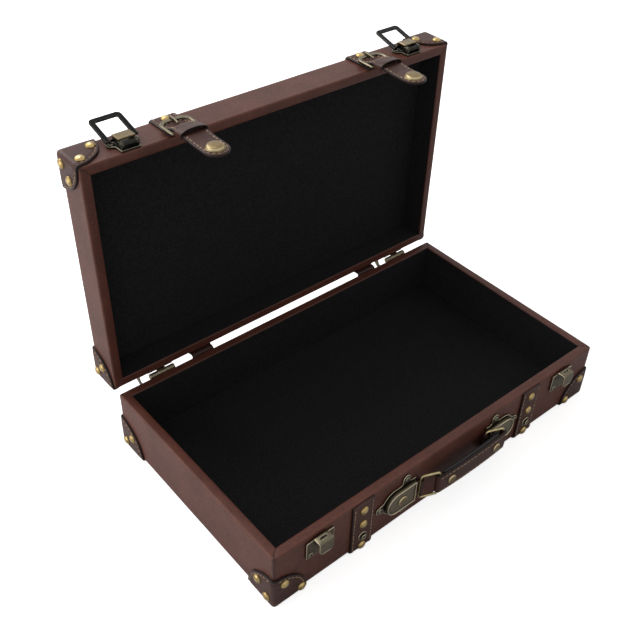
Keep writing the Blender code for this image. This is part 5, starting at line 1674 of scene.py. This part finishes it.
@dataclass
class Hinge:
    """One butt hinge on the rear face, with the arm that stops the lid."""

    name: str
    side: int
    x: float = 0.152
    half: float = 0.01325
    leaf: float = 0.0012
    barrel: float = 0.003

    def build(self) -> None:
        """Builds the base's leaf, the lid's leaf with the arm, the pin and the screws."""
        x = self.side * self.x
        middle = 0.0044
        stretches = {"base": ((-self.half, -middle - SEAT), (middle + SEAT, self.half)), "lid": ((-middle, middle),)}
        for body, way in (("base", -1), ("lid", 1)):
            place = OPEN if body == "lid" else AS_DRAWN
            shape, screws = Shape(place), Shape(place)
            near, far = sorted((way * 0.0033, way * 0.021))
            outline = [Vector((-self.half, near)), Vector((self.half, near))]
            outline += [Vector((self.half, far)), Vector((-self.half, far))]
            edge = [Vector((p.x, p.y + HINGE.z)) for p in outline]
            shape.worn_and_shaded_plate(edge, SEAT, SEAT + self.leaf, Facing.REAR.at(x, 0, 0))
            for start, end in stretches[body]:
                self.add_knuckle(shape, x + start, x + end, way)
            if body == "lid":
                self.add_stop_arm(shape, x - self.half - 0.009)
            for aside in (-0.008, 0.008):
                add_screw(screws, Facing.REAR.at(x + aside, HINGE.z + way * 0.0135, SEAT + self.leaf))
            shape.build_metal(f"{body}_hinge_leaf_{self.name}", AGED, body, "aged_brass")
            screws.build(f"{body}_hinge_screws_{self.name}_metal", DARK, body, "black_metal")
        pin = Shape(Matrix.Translation((x, HINGE.y, HINGE.z)) @ Matrix.Rotation(math.pi / 2, 4, "Y"))
        ends = self.half + 0.0004
        profile = [(0.0005, ends), (0.00095, ends - 0.0002), (0.001, ends - 0.0005)]
        profile += [(0.001, 0.0), (0.001, 0.0005 - ends), (0.0005, -ends)]
        pin.lathe(profile, AS_DRAWN, 16)
        pin.build_metal(f"hinge_pin_{self.name}", GOLD, "base", "aged_brass")

    def add_knuckle(self, shape: Shape, start: float, end: float, way: int) -> None:
        """Adds a rolled knuckle with the short run of leaf that it is rolled from.

        Args:
            shape: The leaf's shape.
            start: Where the knuckle starts along the case.
            end: Where it ends.
            way: The side of the hinge line on which the leaf lies, -1 for below and 1 for above.
        """
        outer = arc((HINGE.y, HINGE.z), self.barrel, 0, 345, 23)
        bore = arc((HINGE.y, HINGE.z), 0.0013, 0, 345, 23)
        rows = []
        for outline, ease in ((outer, 0.0003), (bore, 0.0)):
            ring = [(ease, start), (0, start + 0.0003), (0, end - 0.0003), (ease, end)]
            loops = [
                [ACROSS_HINGE @ Vector((p.x, p.y, height)) for p in inset(outline, reach)] for reach, height in ring
            ]
            rows += loops if outline is outer else loops[::-1]
        shape.loft(rows, closed=True)
        near, far = sorted((HINGE.z + way * 0.0005, HINGE.z + way * 0.0045))
        tail = [Vector((REAR_Y + SEAT, near)), Vector((REAR_Y + SEAT + self.leaf, near))]
        tail += [Vector((REAR_Y + SEAT + self.leaf, far)), Vector((REAR_Y + SEAT, far))]
        shape.plate(tail, start, end, 0.0002, ACROSS_HINGE)

    def add_stop_arm(self, shape: Shape, x: float) -> None:
        """Adds the arm beside the hinge that meets the base's rear face, and the foot that joins it to the leaf.

        Args:
            shape: The lid's leaf.
            x: The arm's place along the case.
        """
        points = [(-0.003, 0.009), (-0.003, 0.004), (0.002, 0.002), (0.002, -0.003)]
        points += [(0.006, -0.003), (0.006, 0.004), (0.002, 0.009)]
        outline = [Vector((HINGE.y + back, HINGE.z + up)) for back, up in points]
        shape.plate(outline, x - 0.0006, x + 0.0006, 0.0002, ACROSS_HINGE)
        low, high = HINGE.z + 0.004, HINGE.z + 0.009
        foot = [Vector((x, low)), Vector((x + 0.01, low)), Vector((x + 0.01, high)), Vector((x, high))]
        shape.plate(foot, SEAT, SEAT + self.leaf, 0.0002, Facing.REAR.at(0, 0, 0))


# Handle


@dataclass
class Handle:
    """The carrying handle: two mounts, two wire rings and a padded strap between them."""

    up: float = 0.034
    ring_x: float = 0.042
    ring_out: float = 0.0042
    ring_width: float = 0.018
    ring_height: float = 0.028
    wire: float = 0.0011
    lean: float = 22.0
    span: float = 0.084
    half: float = 0.0105
    strap: float = 0.0018
    bow: float = 0.0012
    pad: float = 0.0045
    plate_half: float = 0.014
    plate_end: float = 0.042
    ear: float = 0.0045
    ear_reach: float = 0.015
    ear_spread: float = 0.0196

    def build(self) -> None:
        """Builds the whole handle."""
        for name, side in SIDES.items():
            self.build_mount(name, side)
            self.build_ring(name, side)
        self.build_strap()
        self.build_pad()

    def d_outline(self, side: int, flat: float, end: float, half: float) -> Outline:
        """The outline of a cap that is flat towards the ring and round at its outer end.

        Args:
            side: The side of the handle, -1 or 1.
            flat: Where its flat end lies, from the ring.
            end: Where its round end lies.
            half: Half its height.

        Returns:
            Its points.
        """
        points = [Vector((flat + 0.0008, half)), Vector((flat, half - 0.0008)), Vector((flat, 0.0008 - half))]
        points += [Vector((flat + 0.0008, -half))] + arc((end - half, 0), half, -90, 90, 18)
        return [Vector((side * p.x, p.y)) for p in points]

    def plate_outline(self, side: int) -> Outline:
        """The mounting plate's outline, with its three screw ears.

        Args:
            side: The side of the handle, -1 or 1.

        Returns:
            Its points.
        """
        half, end = self.plate_half, self.plate_end
        ear, reach, spread = self.ear, self.ear_reach, self.ear_spread
        turn = math.degrees(math.asin(ear / half))
        points = [Vector((0.004, half)), Vector((0.004, -half)), Vector((reach - ear - 0.0015, -half))]
        points += [Vector((reach - ear, -half - 0.0012))] + arc((reach, -spread), ear, 180, 360, 10)
        points += [Vector((reach + ear, -half - 0.0012)), Vector((reach + ear + 0.0015, -half))]
        points += arc((end - half, 0), half, -84, -turn - 6, 8) + arc((end + 0.003, 0), ear, -90, 90, 10)
        points += arc((end - half, 0), half, turn + 6, 84, 8)
        points += [Vector((reach + ear + 0.0015, half)), Vector((reach + ear, half + 0.0012))]
        points += arc((reach, spread), ear, 0, 180, 10)
        points += [Vector((reach - ear, half + 0.0012)), Vector((reach - ear - 0.0015, half))]
        return [Vector((side * p.x, p.y)) for p in points]

    def build_mount(self, name: str, side: int) -> None:
        """Builds one mount: its plate and screws, its bordered cap with a rivet, and its leather tab.

        Args:
            name: The mount's side in names.
            side: The same side, -1 or 1.
        """
        place = Facing.FRONT.at(side * self.ring_x, self.up, 0)
        plate, cap, rivet, screws = Shape(place), Shape(place), Shape(place), Shape(place)
        plate.worn_and_shaded_plate(self.plate_outline(side), SEAT, 0.0015)
        ears = [(self.ear_reach, -self.ear_spread), (self.ear_reach, self.ear_spread), (self.plate_end + 0.003, 0.0)]
        for reach, level in ears:
            add_screw(screws, Matrix.Translation((side * reach, level, 0.0015)))
        # The cap's sides and the groove inside its bead are painted shade; the bead's top and a little of the face
        # carry a painted highlight.
        tiers = [(0.0002, 0.0018, 1.0, 0.0), (0, 0.0021, 0.8, 0.0), (0, 0.0036, 0.2, 0.0), (0, 0.0052, 0.0, 0.0)]
        tiers += [(0.0002, 0.0056, 0.0, 0.4), (0.0005, 0.0058, 0.0, 1.0), (0.0009, 0.0057, 0.0, 0.8)]
        tiers += [(0.0012, 0.0053, 0.3, 0.0), (0.0015, 0.005, 0.7, 0.0), (0.0019, 0.005, 0.0, 0.0)]
        tiers += [(0.004, 0.0051, 0.0, 0.12), (0.009, 0.0051, 0.0, 0.12)]
        rows, marks = [], []
        for reach, height, dark, rub_and_highlight in tiers:
            outline = self.d_outline(side, 0.0055 + reach, 0.040 - reach, 0.0125 - reach)
            rows.append([Vector((p.x, p.y, height)) for p in outline])
            marks.append([(dark, rub_and_highlight)] * len(outline))
        cap.loft(rows, marks)
        rivet.lathe(headed(DISC, 0.0053, 0.0017), Matrix.Translation((side * 0.022, 0, 0.005)), 28)
        plate.build_metal(f"handle_plate_{name}", AGED, "base", "aged_brass")
        screws.build(f"handle_screws_{name}_metal", DARK, "base", "black_metal")
        cap.build_metal(f"handle_cap_{name}", AGED, "base", "aged_brass")
        rivet.build(f"handle_rivet_{name}_metal", BRONZE, "base", "gold_brass")
        radius = self.wire + SEAT + 0.0007
        path = [Vector((0.018, 0.0028)), Vector((0.010, 0.0028)), Vector((0.0045, 0.0028))]
        path += arc((0, self.ring_out), radius, 270, 60, 16)
        line = [Vector((side * (self.ring_x + p.x), FRONT_Y - p.y, self.up)) for p in path]
        strip = Strip(Track(line, Vector((0, 0, -side))), 0.010, 0.0014, pitch=0.001)
        leather, thread = Shape(), Shape()
        strip.add(leather)
        strip.sew_sides(thread, 0.0135, strip.track.length - 0.0008)
        build_sewn(f"handle_tab_{name}", "base", leather, thread)

    def build_ring(self, name: str, side: int) -> None:
        """Builds one rectangular wire ring.

        Args:
            name: The ring's side in names.
            side: The same side, -1 or 1.
        """
        pivot = Vector((side * self.ring_x, FRONT_Y - self.ring_out, self.up))
        shape = Shape(turn_about(pivot, -self.lean, "Z") @ Matrix.Translation(pivot))
        half = self.ring_height / 2
        flat = box_outline(self.ring_width / 2, -half, half, 0.0025, 0.0025)
        line = [Vector((p.x + self.ring_width / 2, 0, p.y)) for p in flat]
        shape.tube(line, self.wire, Vector((0, 1, 0)), closed=True, steps=12)
        shape.build_metal(f"handle_ring_{name}", PALE, f"ring_{name}", "gold_brass")

    def strap_point(self, share: float) -> tuple[Vector, float]:
        """A point on the strap's middle line between the bars, by its distances along and out, and its slope."""
        out = self.wire + SEAT + self.strap / 2 + 4 * self.bow * share * (1 - share)
        return Vector((self.span * share, out)), 4 * self.bow * (1 - 2 * share) / self.span

    def track(self, path: Sequence[Vector]) -> Track:
        """A track for a path of distances along and out from the left ring's bar."""
        bar = joint_point("handle_swing")
        return Track([Vector((bar.x + p.x, bar.y - p.y, bar.z)) for p in path], Vector((0, 0, 1)))

    def build_strap(self) -> None:
        """Builds the sewn strap and the rivets at its ends."""
        bar = joint_point("handle_swing")
        radius = self.wire + SEAT + self.strap / 2
        path = arc((0, 0), radius, 300, 90, 18)
        path += [self.strap_point(index / 20)[0] for index in range(1, 20)]
        path += arc((self.span, 0), radius, 90, -120, 18)
        strip = Strip(self.track(path), self.half, self.strap, crown=0.0003)
        leather, thread, rivets = Shape(), Shape(), Shape()
        strip.add(leather)
        strip.sew_sides(thread, radius * 3.2, strip.track.length - radius * 3.2)
        share = 0.0125 / self.span
        for at in (share, 1 - share):
            point, slope = self.strap_point(at)
            seat = point + Vector((-slope, 1)).normalized() * (self.strap / 2 + 0.0001)
            place = Matrix.Translation((bar.x + seat.x, bar.y - seat.y, bar.z))
            place = place @ Matrix.Rotation(-math.atan(slope), 4, "Z") @ Matrix.Rotation(math.pi / 2, 4, "X")
            rivets.lathe(headed(DISC, 0.0047, 0.0019), place, 28)
        build_sewn("handle_strap", "handle", leather, thread)
        rivets.build("handle_strap_rivets", BRONZE, "handle", "gold_brass")

    def build_pad(self) -> None:
        """Builds the puckered pad behind the strap."""
        drop = self.strap / 2 + self.pad / 2
        inset_share = 0.005 / self.span
        middle = []
        for index in range(33):
            point, slope = self.strap_point(inset_share + (1 - 2 * inset_share) * index / 32)
            middle.append(point + Vector((slope, -1)).normalized() * drop)
        track = self.track(middle)
        rows = []
        for index, along in enumerate(track.marks):
            ends = min(along, track.length - along)
            swell = math.sqrt(max(0.12, 1 - (1 - min(ends / 0.004, 1.0)) ** 2))
            ring = []
            for step in range(24):
                angle = 2 * math.pi * step / 24
                aside = (self.half + 0.0004) * math.copysign(abs(math.cos(angle)) ** 0.35, math.cos(angle))
                lift = self.pad / 2 * swell * math.copysign(abs(math.sin(angle)) ** 0.6, math.sin(angle))
                pucker = 0.00018 * math.cos(2 * math.pi * along / 0.0046) * (1 - abs(math.sin(angle)))
                ring.append(track.spot(along, aside * (0.98 + 0.02 * swell) + math.copysign(pucker, aside), lift)[0])
            rows.append(ring)
        pad = Shape()
        pad.loft(rows)
        padding = pad.build("handle_backing_pad", PADDING, "handle", "black_padding", ["handle_backing"])


# Floor, light and camera


@dataclass
class Studio:
    """A pale floor, soft light and the camera."""

    side_power: float = 4.6
    top_power: float = 19.0
    surround: float = 0.36
    lens: float = 49.754
    shift: tuple[float, float] = (-0.0162, 0.0022)
    spot: tuple[float, float, float] = (0.08199, -0.1582, -2.15114)
    turns: tuple[float, float, float] = (0.7368, -0.87348, -0.04747)

    def build(self) -> None:
        """Builds the floor, the lamps, the surroundings and the camera."""
        self.build_floor()
        self.build_world()
        self.add_lamp("side_light", (-1.1, 0.4, 0.35), 0.9, self.side_power)
        self.add_lamp("top_light", (-0.35, 1.2, 1.5), 1.3, self.top_power)
        self.add_camera()
        view = bpy.context.scene.view_settings
        view.view_transform = "Standard"
        view.look = "None"
        view.exposure = 0.0
        view.gamma = 1.0

    def build_floor(self) -> None:
        """Builds the wide pale floor, which is white to the camera but for its soft shadow."""
        mesh = bpy.data.meshes.new("floor")
        size = 3.0
        mesh.from_pydata([(-size, -size, 0), (size, -size, 0), (size, size, 0), (-size, size, 0)], [], [(0, 1, 2, 3)])
        floor = bpy.data.objects.new("floor", mesh)
        bpy.context.scene.collection.objects.link(floor)
        floor.location.z = -0.0003
        material = bpy.data.materials.new("floor_finish")
        material.use_nodes = True
        tree = Tree(material.node_tree)
        shader = material.node_tree.nodes["Principled BSDF"]
        seen = tree.add("LightPath").outputs["Is Camera Ray"]
        join(tree, shader, Base_Color=(0.93, 0.93, 0.93), Roughness=1.0, Specular_IOR_Level=0.0)
        join(tree, shader, Emission_Color=(1.0, 1.0, 1.0), Emission_Strength=tree.scale(seen, 0.0, 0.76))
        mesh.materials.append(material)

    def build_world(self) -> None:
        """Makes the surroundings white to the camera and to shiny surfaces, and dimmer as a light."""
        world = bpy.data.worlds.new("surroundings")
        bpy.context.scene.world = world
        world.use_nodes = True
        tree = Tree(world.node_tree)
        path = tree.add("LightPath").outputs
        direct = tree.math("MAXIMUM", path["Is Camera Ray"], path["Is Glossy Ray"])
        direct = tree.math("MAXIMUM", direct, path["Is Transmission Ray"])
        background = world.node_tree.nodes["Background"]
        background.inputs[0].default_value = (1.0, 1.0, 1.0, 1.0)
        world.node_tree.links.new(tree.scale(direct, self.surround, 1.0), background.inputs[1])

    def add_lamp(self, name: str, place: tuple[float, float, float], size: float, power: float) -> None:
        """Adds a square soft lamp that faces the case.

        Args:
            name: The lamp's name.
            place: Where it stands.
            size: The length of its sides.
            power: Its power in watts.
        """
        data = bpy.data.lights.new(name, "AREA")
        data.shape = "SQUARE"
        data.size = size
        data.energy = power
        lamp = bpy.data.objects.new(name, data)
        bpy.context.scene.collection.objects.link(lamp)
        lamp.location = place
        lamp.rotation_mode = "QUATERNION"
        lamp.rotation_quaternion = (Vector((0, 0, 0.1)) - Vector(place)).to_track_quat("-Z", "Y")

    def add_camera(self) -> None:
        """Adds the camera at the angle of the picture."""
        data = bpy.data.cameras.new("camera")
        data.lens = self.lens
        data.sensor_width = 36.0
        data.shift_x, data.shift_y = self.shift
        data.clip_start, data.clip_end = 0.01, 20.0
        camera = bpy.data.objects.new("camera", data)
        bpy.context.scene.collection.objects.link(camera)
        around, tilt, roll = self.turns
        turn = Matrix.Rotation(roll, 3, "Z") @ Matrix.Rotation(tilt, 3, "X") @ Matrix.Rotation(around, 3, "Z")
        back = turn.transposed()
        place = LENGTH * (back @ -Vector(self.spot) + Vector((0, 0, 0.1)))
        camera.matrix_world = Matrix.Translation(place) @ back.to_4x4()
        bpy.context.scene.camera = camera


def dress_packed_nodes() -> None:
    """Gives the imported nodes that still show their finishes."""
    for name, node in frame["nodes"].items():
        if node.hide_render:
            continue
        finish, slot = (SHEET, "leatherboard") if name == "bottom_sheet" else (PLY, "board")
        node.data.materials.clear()
        node.data.materials.append(finish.material())
        LOG.info("packed node %s keeps its shape", name)


def main() -> None:
    """Builds the case piece by piece, then the floor, the light and the camera."""
    logging.basicConfig(level=logging.INFO, format="%(name)s: %(message)s")
    base = CaseHalf("base", BASE_BOTTOM, 1, BASE_TOP - BASE_BOTTOM, AS_DRAWN, corner_radius=0.033, nail_angles=(14, 70))
    lid = CaseHalf("lid", LID_TOP, -1, LID_TOP - LID_RIM, OPEN, corner_radius=0.0305, nail_angles=(26, 75))
    for half in (base, lid):
        half.build_cover()
        half.build_lining()
        half.build_corners()
        LOG.info("%s: cover, lining and corner leathers", half.name)
    for name, side in SIDES.items():
        StrapSet(name, side).build()
        Latch(name, side).build()
        Hinge(name, side).build()
        LOG.info("%s side: strap, latch and hinge", name)
    Handle().build()
    LOG.info("handle")
    dress_packed_nodes()
    Studio().build()
    LOG.info("floor, light and camera")


if __name__ == "__main__":
    main()
